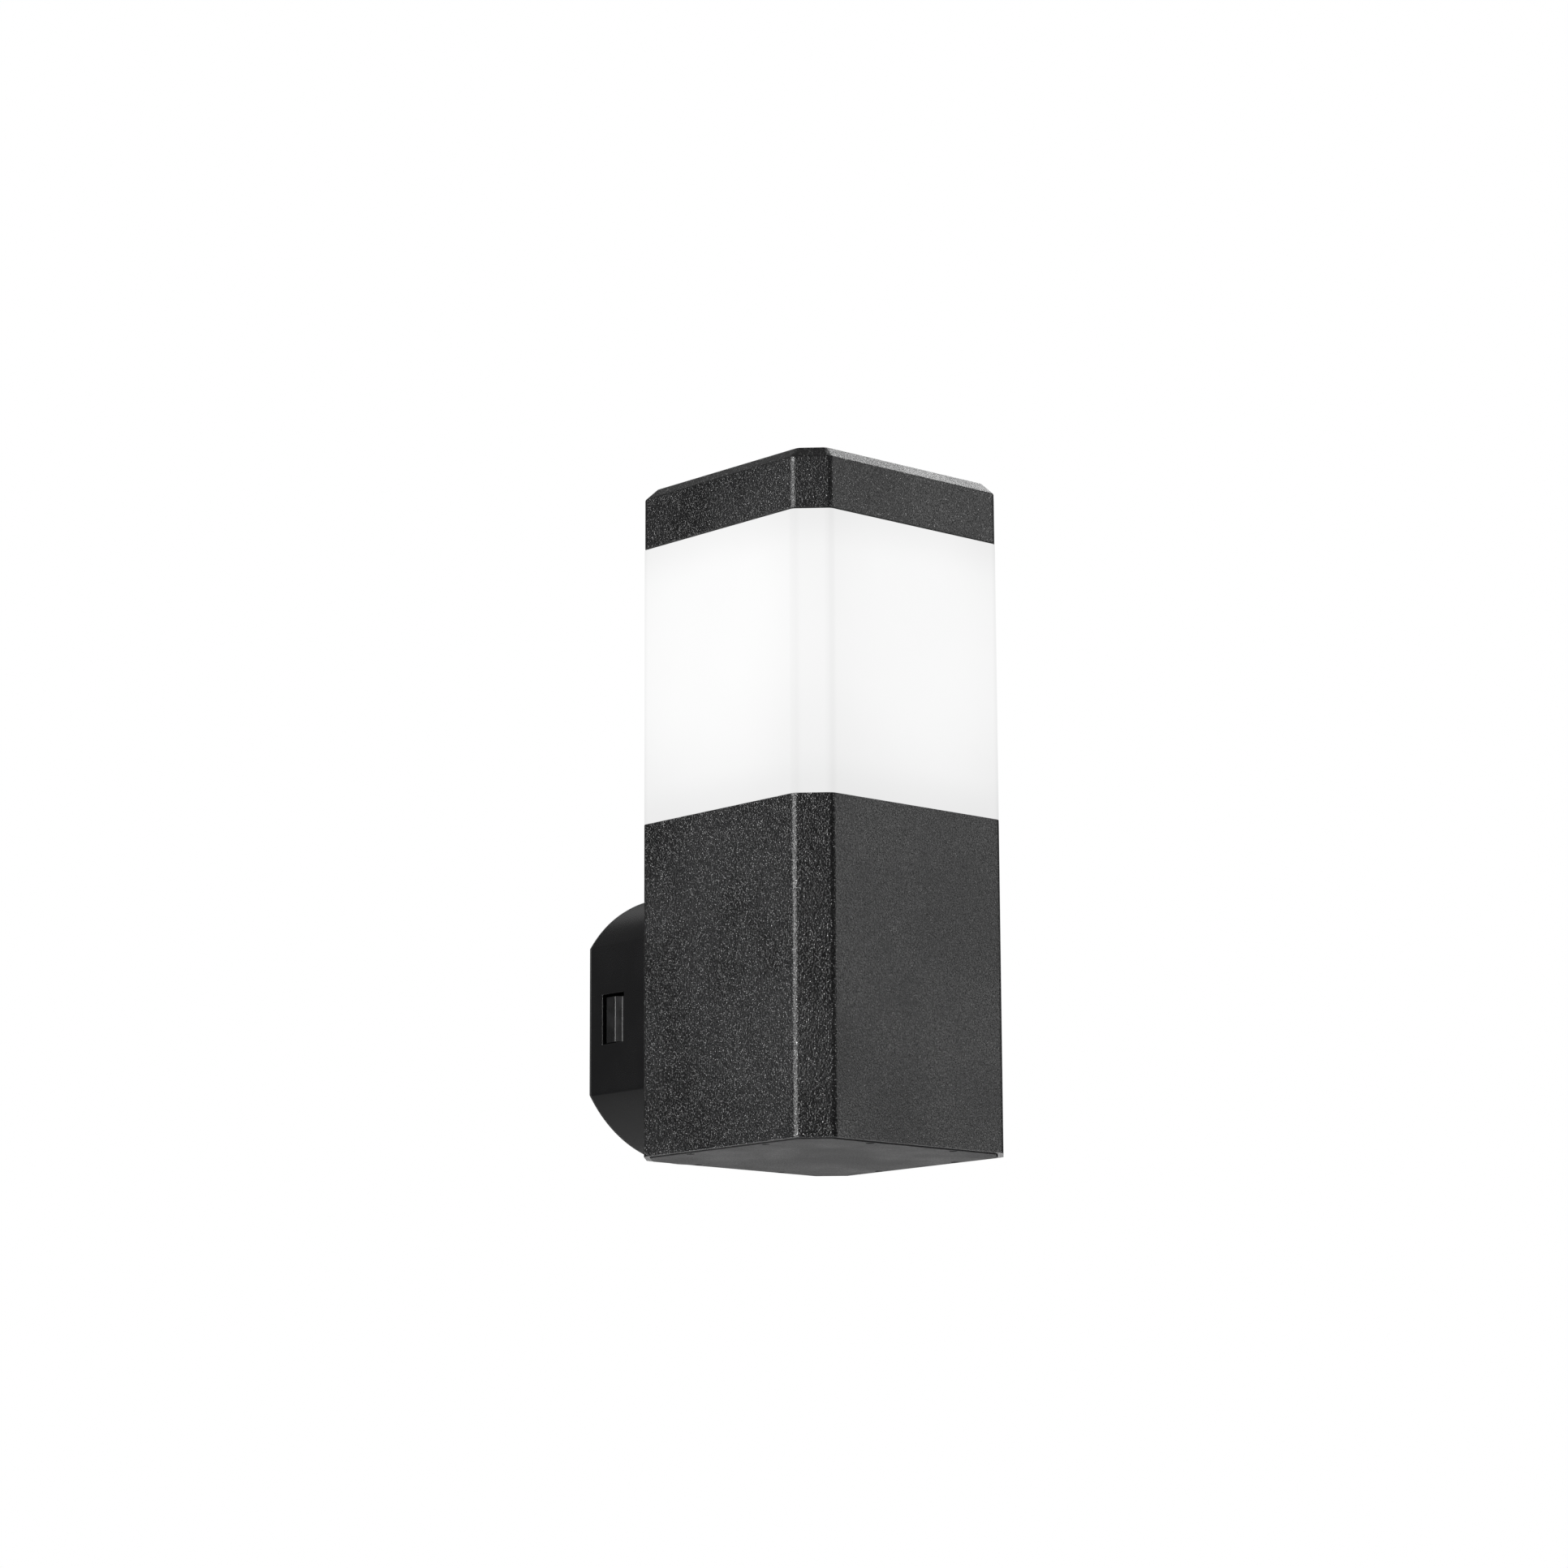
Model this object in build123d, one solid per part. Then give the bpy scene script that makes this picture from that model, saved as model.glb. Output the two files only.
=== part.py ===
from build123d import *
import os
from math import cos, hypot, radians, sin, sqrt, tan

# Outdoor wall lantern, in millimetres: a square column with an opal shade and a cap on top,
# carried in front of the wall by a round base that clips over a wall plate.
# Origin: the centre of the wall base on the wall plane. +X right, -Y away from the wall, +Z up.
# "Depth" is the distance from the wall plane, along -Y. "Inset" is measured inwards from the
# outer faces of the column, or from the outer edge of the wall base.

# ---- column ----
body_width = 100.0  # across the flats
body_chamfer = 9.7  # leg of each corner chamfer
edge_radius = 1.0  # on the long edges
body_height = 120.0
body_wall = 2.0
stand_off = 31.4  # wall plane to the back of the column
base_rise = 53.5  # centre of the wall base above the bottom end of the column
port_setback = 9.85  # corner chamfer to the centre line of a screw port
port_radius = 4.2
port_web = 3.0
port_cutback = 12.0  # the ports stop short of the bottom end

# ---- bottom cover ----
cover_gap = 0.45  # all round, to the inside of the column
cover_thickness = 2.5
cover_stand_out = 0.4  # below the end of the column
cover_hole_radius = 1.5
cover_hole_pitch = 40.0  # between the two holes of a side
cover_hole_setback = 2.5  # hole centre to the inside of the column
cover_rib_setback = 5.0
cover_rib_thickness = 1.5
cover_rib_height = 6.0
cover_tab_width = 6.0
cover_tab_height = 2.5
cover_tab_gap = 0.05

# ---- shade: diffuser, gasket and cap ----
diffuser_height = 101.6
diffuser_wall = 2.5
shade_gap = 0.2  # shoulder of the diffuser to the rim of the column
shoulder_height = 3.0
skirt_depth = 8.0  # how far the diffuser plugs into the column
skirt_wall = 2.5
skirt_clearance = 0.3
flange_thickness = 3.0
flange_clearance = 4.0  # round the lamp, which passes through the flange
cap_height = 22.9
cap_wall = 2.5
cap_bevel = 4.3
cap_inset = 0.2
cap_gasket_thickness = 0.4
cap_gasket_inset = 0.8
cap_gasket_width = 1.5
cap_post_radius = 4.5
cap_post_setback = 10.1  # corner chamfer to the centre line of a post

# ---- deck in the top of the column ----
deck_thickness = 1.5
deck_gap = 0.3
skirt_seal_height = 1.5
clip_thickness = 0.6
clip_width = 14.0
clip_foot = 7.5
clip_height = 10.0
clip_clearance = 0.1
clip_lean = 1.4
rivet_radius = 1.5
rivet_head_radius = 2.6
rivet_head_height = 0.8

# ---- lampholder and its bracket ----
holder_radius = 19.5
holder_height = 48.0
holder_above_deck = 18.0
holder_bore_radius = 14.0
holder_floor = 18.0
holder_wall_gap = 1.0  # between the holder and the hole in the deck
shell_radius = 13.5  # inside of the screw shell
shell_thickness = 0.4
shell_height = 17.0
shell_setback = 2.0  # below the mouth of the holder
contact_width = 5.0
contact_thickness = 0.8
contact_reach = 6.0
bracket_thickness = 1.5
bracket_width = 16.0
bracket_flange = 8.0

# ---- lamp, E27 cap and 60 mm bulb ----
lamp_length = 108.0
lamp_lift = 0.3  # tip to the centre contact
tip_radius = 4.5
tip_height = 1.5
insulator_height = 4.5
insulator_radius = 9.0
lamp_cap_radius = 13.1
lamp_cap_top = 27.0  # above the tip
lamp_cap_wall = 0.5
globe_radius = 30.0
globe_wall = 1.0
housing_top = 60.0  # above the tip
housing_low_radius = 14.0
housing_wall = 1.5
led_board_gap = 0.3  # to the inside of the housing, at its lower face
led_board_thickness = 1.6

# ---- wall base ----
base_radius = 49.5
base_half_width = 41.5  # to the flat on each side
base_edge_radius = 1.5
base_wall = 2.5
base_front = 3.0  # thickness of the front, against the column
wall_seal_thickness = 1.0
wall_seal_inset = 0.3
wall_seal_width = 2.0
window_depth = 7.7  # near edge of a side window
window_width = 11.9
window_height = 18.2
base_gasket_inset = 3.5
base_gasket_width = 2.5
base_gasket_thickness = 1.0
earth_cut_width = 14.0
earth_cut_height = 22.0
earth_cut_offset = 5.0  # centre of the cut-out above the earth screw

# ---- wall plate ----
plate_thickness = 3.0
plate_gap = 0.4  # to the inside of the wall base
rim_depth = 12.0
rim_thickness = 2.0
rim_cut_height = 22.0  # gap in the rim beside each latch
slot_spacing = 66.0
slot_radius = 2.5
slot_length = 10.0
pad_thickness = 2.0
pad_margin = 1.5

# ---- latches ----
latch_top = 8.2
latch_bottom = -8.7
latch_recess = 1.0  # crest below the outside of the wall base
latch_catch_gap = 1.0  # catch face to the near edge of the window
latch_crest = 4.95
latch_slope = 0.5  # of the lead-in ramp
arm_gap = 0.4  # arm to the inside of the wall base
arm_thickness = 1.8
arm_near = 6.0
pivot_depth = 21.4  # where the arm flexes, at its far end
arm_flex = 3.0  # room behind the arm
post_thickness = 1.8
bridge_depth = 1.8
bridge_gap = 0.3

# ---- screws, strips and grommets ----
screw_radius = 2.0
screw_head_radius = 3.8
screw_head_height = 2.6
screw_recess_width = 1.2
screw_recess_depth = 1.0
small_screw_radius = 1.5
small_head_radius = 2.8
small_head_height = 2.0
small_nut_radius = 3.1
small_nut_height = 2.4
hole_clearance = 0.2
thread_clearance = 0.05
base_screw_spacing_x = 40.0
base_screw_spacing_z = 50.0
base_screw_length = 11.0
strip_length = 52.0
strip_height = 12.0
strip_thickness = 3.0
cap_screw_length = 14.0
deck_screw_length = 12.0
block_screw_length = 17.0
holder_screw_spacing = 22.0
holder_screw_length = 10.0
grommet_radius = 7.0
grommet_flange_radius = 9.0
grommet_flange = 1.5
cable_bore_radius = 4.5
wire_spacing = 6.8  # between the two wires in the grommet
wire_hole_clearance = 0.1
grommet_seat = 1.2  # recess for the back flange of the cable grommet

# ---- terminal block and wiring ----
block_width = 31.0
block_height = 17.0
block_depth = 14.0
block_low = 11.5
pole_pitch = 10.0
tube_radius = 2.9
tube_bore_radius = 1.4
tube_end_gap = 1.0
terminal_screw_radius = 1.5
terminal_screw_spacing = 9.0
terminal_screw_recess = 1.0
wire_radius = 1.1
wire_entry = 5.0  # length of a wire end inside its terminal
tag_thickness = 0.8
tag_radius = 4.0
tag_barrel_radius = 1.7
tag_neck = 4.6  # screw to the bend below the barrel
tag_bend = 45.0  # degrees, towards the wall
tag_barrel_length = 8.0

# ---- derived places ----
body_y = -(stand_off + body_width / 2)
body_low = -base_rise
body_top = body_low + body_height
chamfer_reach = (body_width - body_chamfer) / sqrt(2)
port_offset = (chamfer_reach - port_setback) / sqrt(2)
post_offset = (chamfer_reach - cap_post_setback) / sqrt(2)
inside = body_width / 2 - body_wall

diffuser_low = body_top + shade_gap
diffuser_top = diffuser_low + diffuser_height
cap_low = diffuser_top + cap_gasket_thickness
cap_top = cap_low + cap_height
skirt_inset = body_wall + skirt_clearance
skirt_face = body_width / 2 - skirt_inset - skirt_wall  # inside of the skirt, from the axis
skirt_low = body_top - skirt_depth
deck_top = skirt_low - skirt_seal_height
deck_low = deck_top - deck_thickness
rivet_x = skirt_face - clip_lean - clip_foot / 2

holder_top = deck_top + holder_above_deck
holder_low = holder_top - holder_height
holder_floor_z = holder_low + holder_floor
contact_top = holder_floor_z + contact_reach
tip_z = contact_top + lamp_lift
globe_centre = tip_z + lamp_length - globe_radius
housing_top_z = tip_z + housing_top
housing_top_radius = sqrt(globe_radius ** 2 - (globe_centre - housing_top_z) ** 2)
bracket_screw_x = (holder_radius + holder_wall_gap + rivet_x - clip_foot / 2) / 2
bracket_half = bracket_screw_x + (bracket_flange + bracket_thickness) / 2

base_back = wall_seal_thickness
front_inside = stand_off - base_front
arm_x = base_half_width - base_wall - arm_gap
arm_inner_x = arm_x - arm_thickness
crest_x = base_half_width - latch_recess
catch_depth = window_depth + latch_catch_gap
ramp_depth = catch_depth + latch_crest
arm_far = pivot_depth + arm_thickness / 2
post_x = arm_inner_x - arm_flex
earth_z = -base_screw_spacing_z / 2
block_near = plate_thickness + pad_thickness
block_far = block_near + block_depth
block_z = block_low + block_height / 2
tube_depth = block_near + block_depth / 2
tag_start = Vector(0, -(stand_off - tag_barrel_radius), earth_z + tag_neck)
tag_way = Vector(0, sin(radians(tag_bend)), cos(radians(tag_bend)))
tag_end = tag_start + tag_way * tag_barrel_length
corners = [(-1, -1), (1, -1), (1, 1), (-1, 1)]


# ---- shapes shared by the pieces ----
def section(inset, radius=0.0):
    half = body_width / 2 - inset
    leg = body_chamfer - (2 - sqrt(2)) * inset
    outline = chamfer(Rectangle(2 * half, 2 * half).vertices(), leg)
    return fillet(outline.vertices(), radius) if radius else outline


def prism(inset, low, high, radius=0.0):
    return Pos(0, body_y, low) * extrude(section(inset, radius), high - low)


def ring(outer_inset, inner_inset, low, high, radius=0.0):
    return prism(outer_inset, low, high, radius) - prism(inner_inset, low, high)


def upright(x, y, radius, low, high):
    return Pos(x, body_y + y, low) * extrude(Circle(radius), high - low)


def slab(outline, near, far):
    return extrude(Plane.XZ.offset(near) * outline, far - near)


def rod(x, z, radius, near, far):
    return slab(Pos(x, z) * Circle(radius), near, far)


def block(x, z, width, height, near, far):
    return slab(Pos(x, z) * Rectangle(width, height), near, far)


def base_outline(inset, radius=0.0):
    outline = Circle(base_radius - inset) & Rectangle(2 * (base_half_width - inset), 2 * base_radius)
    return fillet(outline.vertices(), radius) if radius else outline


def screw(radius, length, head_radius, head_height):
    # seat of the head at the origin, shank along -Z, cross recess in the head
    head = extrude(Circle(head_radius), head_height)
    head = fillet(head.edges().sort_by(Axis.Z)[-1], head_height * 0.6)
    slot = Box(2 * head_radius * 0.6, screw_recess_width, 2 * screw_recess_depth)
    cross = slot + Rot(0, 0, 90) * slot
    shank = Pos(0, 0, -length) * extrude(Circle(radius), length)
    return head + shank - Pos(0, 0, head_height) * cross


def wire(points):
    runs = [hypot(*(b - a for a, b in zip(p, q))) for p, q in zip(points, points[1:])]
    steps = [Vector(*q) - Vector(*p) for p, q in zip(points, points[1:])]
    turns = [a.get_angle(b) for a, b in zip(steps, steps[1:])]
    shorter = [min(pair) for pair in zip(runs, runs[1:])]
    radii = [0.45 * run / tan(radians(turn / 2)) for run, turn in zip(shorter, turns)]
    print("wire radii", [round(radius, 1) for radius in radii])
    path = FilletPolyline(*points, radius=radii)
    return sweep(Plane(origin=path @ 0, z_dir=path % 0) * Circle(wire_radius), path=path)


# ---- column, cover and deck ----
def column_body():
    tube = ring(0, body_wall, body_low, body_top, edge_radius)
    low = body_low + port_cutback
    for sx, sy in corners:
        web_length = chamfer_reach - body_wall / 2 - hypot(port_offset, port_offset)
        reach = chamfer_reach - body_wall / 2 - web_length / 2
        web = extrude(Rectangle(web_length, port_web), deck_low - low)
        angle = {(-1, -1): 225, (1, -1): 315, (1, 1): 45, (-1, 1): 135}[(sx, sy)]
        tube += Pos(0, body_y, low) * Rot(0, 0, angle) * Pos(reach, 0, 0) * web
        tube += upright(sx * port_offset, sy * port_offset, port_radius, low, deck_low)
    for sx, sy in corners:
        radius = screw_radius + thread_clearance
        tube -= upright(sx * port_offset, sy * port_offset, radius, low, deck_low)
        x, z = sx * base_screw_spacing_x / 2, sy * base_screw_spacing_z / 2
        tube -= rod(x, z, screw_radius + hole_clearance, stand_off, stand_off + body_wall)
    tube -= rod(0, earth_z, screw_radius + hole_clearance, stand_off, stand_off + body_wall)
    return tube - rod(0, 0, grommet_radius + thread_clearance, stand_off, stand_off + body_wall)


def bottom_cover():
    low = body_low - cover_stand_out
    top = low + cover_thickness
    rib_inset = body_wall + cover_rib_setback
    cover = prism(body_wall + cover_gap, low, top)
    cover += ring(rib_inset, rib_inset + cover_rib_thickness, top, top + cover_rib_height)
    face = inside - cover_tab_gap
    reach = cover_rib_setback + cover_rib_thickness / 2 - cover_tab_gap
    high = top + cover_rib_height
    tab_outline = Polygon(
        (face - reach, high), (face - reach, high - 2 * cover_tab_height),
        (face, high - cover_tab_height), (face, high - cover_tab_height / 2), align=None)
    tab = extrude(Plane.XZ * tab_outline, cover_tab_width / 2, both=True)
    hole = extrude(Circle(cover_hole_radius), cover_thickness)
    hole = Pos(inside - cover_hole_setback, 0, low) * hole
    for angle in range(0, 360, 90):
        for side in (-1, 1):
            place = Pos(0, body_y, 0) * Rot(0, 0, angle) * Pos(0, side * cover_hole_pitch / 2, 0)
            cover = cover + place * tab - place * hole
    return cover


def deck_plate():
    deck = prism(body_wall + deck_gap, deck_low, deck_top)
    deck -= upright(0, 0, holder_radius + holder_wall_gap, deck_low, deck_top)
    for sx, sy in corners:
        radius = screw_radius + hole_clearance
        deck -= upright(sx * port_offset, sy * port_offset, radius, deck_low, deck_top)
    for angle in range(0, 360, 90):
        hole = Pos(rivet_x, 0, deck_low) * extrude(Circle(rivet_radius), deck_thickness)
        deck -= Pos(0, body_y, 0) * Rot(0, 0, angle) * hole
    for side in (-1, 1):
        radius = small_screw_radius + hole_clearance
        deck -= upright(side * bracket_screw_x, 0, radius, deck_low, deck_top)
    return deck


def deck_screws():
    one = screw(screw_radius, deck_screw_length, screw_head_radius, screw_head_height)
    return [Pos(sx * port_offset, body_y + sy * port_offset, deck_top) * one for sx, sy in corners]


def spring_clips():
    # a flat foot on the deck and a bowed leaf that bears on the inside of the skirt
    nose = skirt_face - clip_clearance
    back = nose - clip_lean
    t = clip_thickness
    middle = deck_top + clip_height * 0.6
    outline = Polygon(
        (back + t / 2 - clip_foot, deck_top), (back + t, deck_top), (nose, middle),
        (back + t / 2, deck_top + clip_height), (back - t / 2, deck_top + clip_height),
        (nose - t, middle), (back, deck_top + t), (back + t / 2 - clip_foot, deck_top + t), align=None)
    clip = extrude(Plane.XZ * outline, clip_width / 2, both=True)
    hole = Pos(rivet_x, 0, deck_top) * extrude(Circle(rivet_radius), t)
    return [Pos(0, body_y, 0) * Rot(0, 0, angle) * (clip - hole) for angle in range(0, 360, 90)]


def clip_rivets():
    high = deck_top + clip_thickness
    head = extrude(Circle(rivet_head_radius), rivet_head_height)
    rivet = Pos(0, 0, deck_low) * extrude(Circle(rivet_radius), high - deck_low)
    rivet += Pos(0, 0, high) * head + Pos(0, 0, deck_low - rivet_head_height) * head
    place = Pos(rivet_x, 0, 0)
    return [Pos(0, body_y, 0) * Rot(0, 0, angle) * place * rivet for angle in range(0, 360, 90)]


def skirt_seal():
    return ring(skirt_inset, skirt_inset + skirt_wall, deck_top, skirt_low)


# ---- shade ----
def diffuser():
    shade = ring(0, diffuser_wall, diffuser_low, diffuser_top, edge_radius)
    inner = skirt_inset + skirt_wall
    shade += ring(0, inner, diffuser_low, diffuser_low + shoulder_height, edge_radius)
    shade += ring(skirt_inset, inner, skirt_low, diffuser_low)
    flange = prism(diffuser_wall / 2, diffuser_top - flange_thickness, diffuser_top)
    flange_low = diffuser_top - flange_thickness
    flange -= upright(0, 0, globe_radius + flange_clearance, flange_low, diffuser_top)
    for sx, sy in corners:
        radius = screw_radius + hole_clearance
        flange -= upright(sx * post_offset, sy * post_offset, radius, flange_low, diffuser_top)
    return shade + flange


def cap_gasket():
    return ring(cap_gasket_inset, cap_gasket_inset + cap_gasket_width, diffuser_top, cap_low)


def top_cap():
    bevel_low = cap_top - cap_bevel
    # the 45 degree bevel's planes run on outwards, down to the level of the rim
    lower = Pos(0, body_y, cap_low) * section(cap_inset - (bevel_low - cap_low))
    upper = Pos(0, body_y, cap_top) * section(cap_inset + cap_bevel)
    shell = prism(cap_inset, cap_low, cap_top, edge_radius) & loft([lower, upper])
    shell -= prism(cap_inset + cap_wall, cap_low, bevel_low)
    roof_low = cap_top - cap_wall
    hollow_low = Pos(0, body_y, bevel_low) * section(cap_inset + cap_wall)
    hollow_top = Pos(0, body_y, roof_low) * section(cap_inset + cap_wall + roof_low - bevel_low)
    shell -= loft([hollow_low, hollow_top])
    hole_top = diffuser_top + cap_screw_length - flange_thickness
    for sx, sy in corners:
        x, y = sx * post_offset, sy * post_offset
        shell += upright(x, y, cap_post_radius, diffuser_top, roof_low)
        shell -= upright(x, y, screw_radius + thread_clearance, diffuser_top, hole_top)
    return shell


def cap_screws():
    one = Rot(180, 0, 0) * screw(screw_radius, cap_screw_length, screw_head_radius, screw_head_height)
    z = diffuser_top - flange_thickness
    return [Pos(sx * post_offset, body_y + sy * post_offset, z) * one for sx, sy in corners]


# ---- lampholder ----
def holder_body():
    holder = upright(0, 0, holder_radius, holder_low, holder_top)
    holder = fillet(holder.edges().sort_by(Axis.Z)[-1], 2.0)
    holder -= upright(0, 0, holder_bore_radius, holder_floor_z, holder_top)
    radius = small_screw_radius + thread_clearance
    for side in (-1, 1):
        x = side * holder_screw_spacing / 2
        holder -= upright(x, 0, radius, holder_low, holder_low + holder_screw_length)
    return holder


def holder_shell():
    top = holder_top - shell_setback
    shell = upright(0, 0, shell_radius + shell_thickness, top - shell_height, top)
    return shell - upright(0, 0, shell_radius, top - shell_height, top)


def centre_contact():
    # a spring tongue: foot on the floor of the holder, leaf under the tip of the lamp
    t = contact_thickness
    leg_x = holder_bore_radius / 2
    leaf = Box(leg_x + 2 * t + contact_width / 2, contact_width, t)
    leaf = Pos(leg_x / 2, 0, contact_top - t / 2) * leaf
    leg = Pos(leg_x, 0, (holder_floor_z + contact_top) / 2) * Box(t, contact_width, contact_reach)
    foot = Pos(leg_x + t, 0, holder_floor_z + t / 2) * Box(contact_width, contact_width, t)
    return Pos(0, body_y, 0) * (leaf + leg + foot)


def holder_bracket():
    t = bracket_thickness
    base = Pos(0, 0, holder_low - t / 2) * Box(2 * bracket_half, bracket_width, t)
    for side in (-1, 1):
        leg = Pos(side * (bracket_half - t / 2), 0, (holder_low + deck_low) / 2 - t / 2)
        base += leg * Box(t, bracket_width, deck_low - holder_low + t)
        flange = Pos(side * (bracket_half - bracket_flange / 2), 0, deck_low - t / 2)
        base += flange * Box(bracket_flange, bracket_width, t)
        hole = Pos(side * bracket_screw_x, 0, deck_low - t)
        base -= hole * extrude(Circle(small_screw_radius + hole_clearance), t)
        hole = Pos(side * holder_screw_spacing / 2, 0, holder_low - t)
        base -= hole * extrude(Circle(small_screw_radius + hole_clearance), t)
    return Pos(0, body_y, 0) * base


def bracket_screws():
    length = deck_thickness + bracket_thickness + small_nut_height
    one = screw(small_screw_radius, length, small_head_radius, small_head_height)
    return [Pos(side * bracket_screw_x, body_y, deck_top) * one for side in (-1, 1)]


def bracket_nuts():
    outline = RegularPolygon(small_nut_radius, 6) - Circle(small_screw_radius + thread_clearance)
    nut = extrude(outline, small_nut_height)
    z = deck_low - bracket_thickness - small_nut_height
    return [Pos(side * bracket_screw_x, body_y, z) * nut for side in (-1, 1)]


def holder_screws():
    one = Rot(180, 0, 0) * screw(
        small_screw_radius, holder_screw_length, small_head_radius, small_head_height)
    z = holder_low - bracket_thickness
    return [Pos(side * holder_screw_spacing / 2, body_y, z) * one for side in (-1, 1)]


# ---- lamp ----
def lamp_tip():
    return upright(0, 0, tip_radius, tip_z, tip_z + tip_height)


def lamp_insulator():
    low = tip_z + tip_height
    cone = Cone(tip_radius, insulator_radius, insulator_height)
    return Pos(0, body_y, low + insulator_height / 2) * cone


def lamp_cap():
    low = tip_z + tip_height + insulator_height
    top = tip_z + lamp_cap_top
    shoulder = low + (lamp_cap_radius - insulator_radius) / 2
    inner = lamp_cap_radius - lamp_cap_wall
    profile = Polygon(
        (insulator_radius - lamp_cap_wall, low), (insulator_radius, low), (lamp_cap_radius, shoulder),
        (lamp_cap_radius, top), (inner, top), (inner, shoulder + lamp_cap_wall), align=None)
    return Pos(0, body_y, 0) * revolve(Plane.XZ * profile, Axis.Z)


def lamp_housing():
    low = tip_z + lamp_cap_top
    wall = housing_wall
    profile = Polygon(
        (0, low), (housing_low_radius, low), (housing_top_radius, housing_top_z),
        (housing_top_radius - wall, housing_top_z), (housing_low_radius - wall, low + wall),
        (0, low + wall), align=None)
    return Pos(0, body_y, 0) * revolve(Plane.XZ * profile, Axis.Z)


def led_board():
    low = housing_top_z - led_board_thickness
    rise = housing_top - lamp_cap_top - housing_wall
    slope = (housing_top_radius - housing_low_radius) / rise
    radius = housing_top_radius - housing_wall - slope * led_board_thickness - led_board_gap
    return upright(0, 0, radius, low, housing_top_z)


def lamp_globe():
    ball = Pos(0, body_y, globe_centre) * (Sphere(globe_radius) - Sphere(globe_radius - globe_wall))
    keep = 2 * globe_radius
    return ball & upright(0, 0, keep, housing_top_z, housing_top_z + 2 * keep)


# ---- wall base ----
def wall_base():
    shell = slab(base_outline(0, base_edge_radius), base_back, stand_off)
    shell -= slab(base_outline(base_wall), base_back, front_inside)
    window_far = window_depth + window_width
    for side in (-1, 1):
        x = side * (base_half_width - base_wall / 2)
        shell -= block(x, 0, 2 * base_wall, window_height, window_depth, window_far)
    groove = base_outline(base_gasket_inset) - base_outline(base_gasket_inset + base_gasket_width)
    shell -= slab(groove, stand_off - base_gasket_thickness, stand_off)
    for sx, sy in corners:
        x, z = sx * base_screw_spacing_x / 2, sy * base_screw_spacing_z / 2
        shell -= rod(x, z, screw_radius + hole_clearance, front_inside, stand_off)
    z = earth_z + earth_cut_offset
    shell -= block(0, z, earth_cut_width, earth_cut_height, front_inside, stand_off)
    return shell - rod(0, 0, grommet_radius + thread_clearance, front_inside, stand_off)


def base_gasket():
    groove = base_outline(base_gasket_inset) - base_outline(base_gasket_inset + base_gasket_width)
    return slab(groove, stand_off - base_gasket_thickness, stand_off)


def base_screws():
    one = Rot(-90, 0, 0) * screw(screw_radius, base_screw_length, screw_head_radius, screw_head_height)
    half_x, half_z = base_screw_spacing_x / 2, base_screw_spacing_z / 2
    return [Pos(sx * half_x, -front_inside, sz * half_z) * one for sx, sz in corners]


def nut_strips():
    near = stand_off + body_wall
    strips = []
    for side in (-1, 1):
        z = side * base_screw_spacing_z / 2
        strip = block(0, z, strip_length, strip_height, near, near + strip_thickness)
        for x in (-base_screw_spacing_x / 2, 0, base_screw_spacing_x / 2):
            strip -= rod(x, z, screw_radius + thread_clearance, near, near + strip_thickness)
        strips.append(strip)
    return strips


def wall_seal():
    seal = base_outline(wall_seal_inset) - base_outline(wall_seal_inset + wall_seal_width)
    return slab(seal, 0, wall_seal_thickness)


# ---- wall plate and latches ----
def wall_plate():
    edge = base_wall + plate_gap
    plate = slab(base_outline(edge), 0, plate_thickness)
    rim = slab(base_outline(edge) - base_outline(edge + rim_thickness), plate_thickness, rim_depth)
    plate += rim - block(0, 0, 2 * base_radius, rim_cut_height, plate_thickness, rim_depth)
    height = latch_top - latch_bottom
    z = (latch_top + latch_bottom) / 2
    bridge_end = arm_inner_x - bridge_gap
    for side in (-1, 1):
        x = side * (post_x - post_thickness / 2)
        plate += block(x, z, post_thickness, height, plate_thickness, arm_far)
        middle = side * (post_x + bridge_end) / 2
        plate += block(middle, z, bridge_end - post_x, height, arm_far - bridge_depth, arm_far)
        slot = Pos(0, side * slot_spacing / 2) * SlotOverall(slot_length, 2 * slot_radius, rotation=90)
        plate -= slab(slot, 0, plate_thickness)
    pad_width, pad_height = block_width + 2 * pad_margin, block_height + 2 * pad_margin
    plate += block(0, block_z, pad_width, pad_height, plate_thickness, block_near)
    for side in (-1, 1):
        radius = small_screw_radius + thread_clearance
        plate -= rod(side * pole_pitch / 2, block_z, radius, block_far - block_screw_length, block_near)
    plate -= rod(0, 0, grommet_radius + thread_clearance, 0, block_near)
    return plate - rod(0, 0, grommet_flange_radius + thread_clearance, 0, grommet_seat)


def latch(side):
    ramp_end = ramp_depth + (crest_x - arm_x) / latch_slope
    outline = Polygon(
        (arm_inner_x, -arm_near), (arm_inner_x, -pivot_depth), (arm_x, -pivot_depth),
        (arm_x, -ramp_end), (crest_x, -ramp_depth), (crest_x, -catch_depth),
        (arm_x, -catch_depth), (arm_x, -arm_near), align=None)
    outline += Pos(arm_x - arm_thickness / 2, -pivot_depth) * Circle(arm_thickness / 2)
    arm = Pos(0, 0, latch_bottom) * extrude(outline, latch_top - latch_bottom)
    return arm if side > 0 else mirror(arm, Plane.YZ)


# ---- terminals, grommets and wiring ----
def terminal_block():
    body = block(0, block_z, block_width, block_height, block_near, block_far)
    for pole in (-1, 0, 1):
        x = pole * pole_pitch
        body -= Pos(x, -tube_depth, block_low) * extrude(Circle(tube_radius), block_height)
        for side in (-1, 1):
            z = block_z + side * terminal_screw_spacing / 2
            body -= rod(x, z, terminal_screw_radius + hole_clearance, tube_depth, block_far)
    for side in (-1, 1):
        radius = small_screw_radius + hole_clearance
        body -= rod(side * pole_pitch / 2, block_z, radius, block_near, block_far)
    return body


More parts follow.
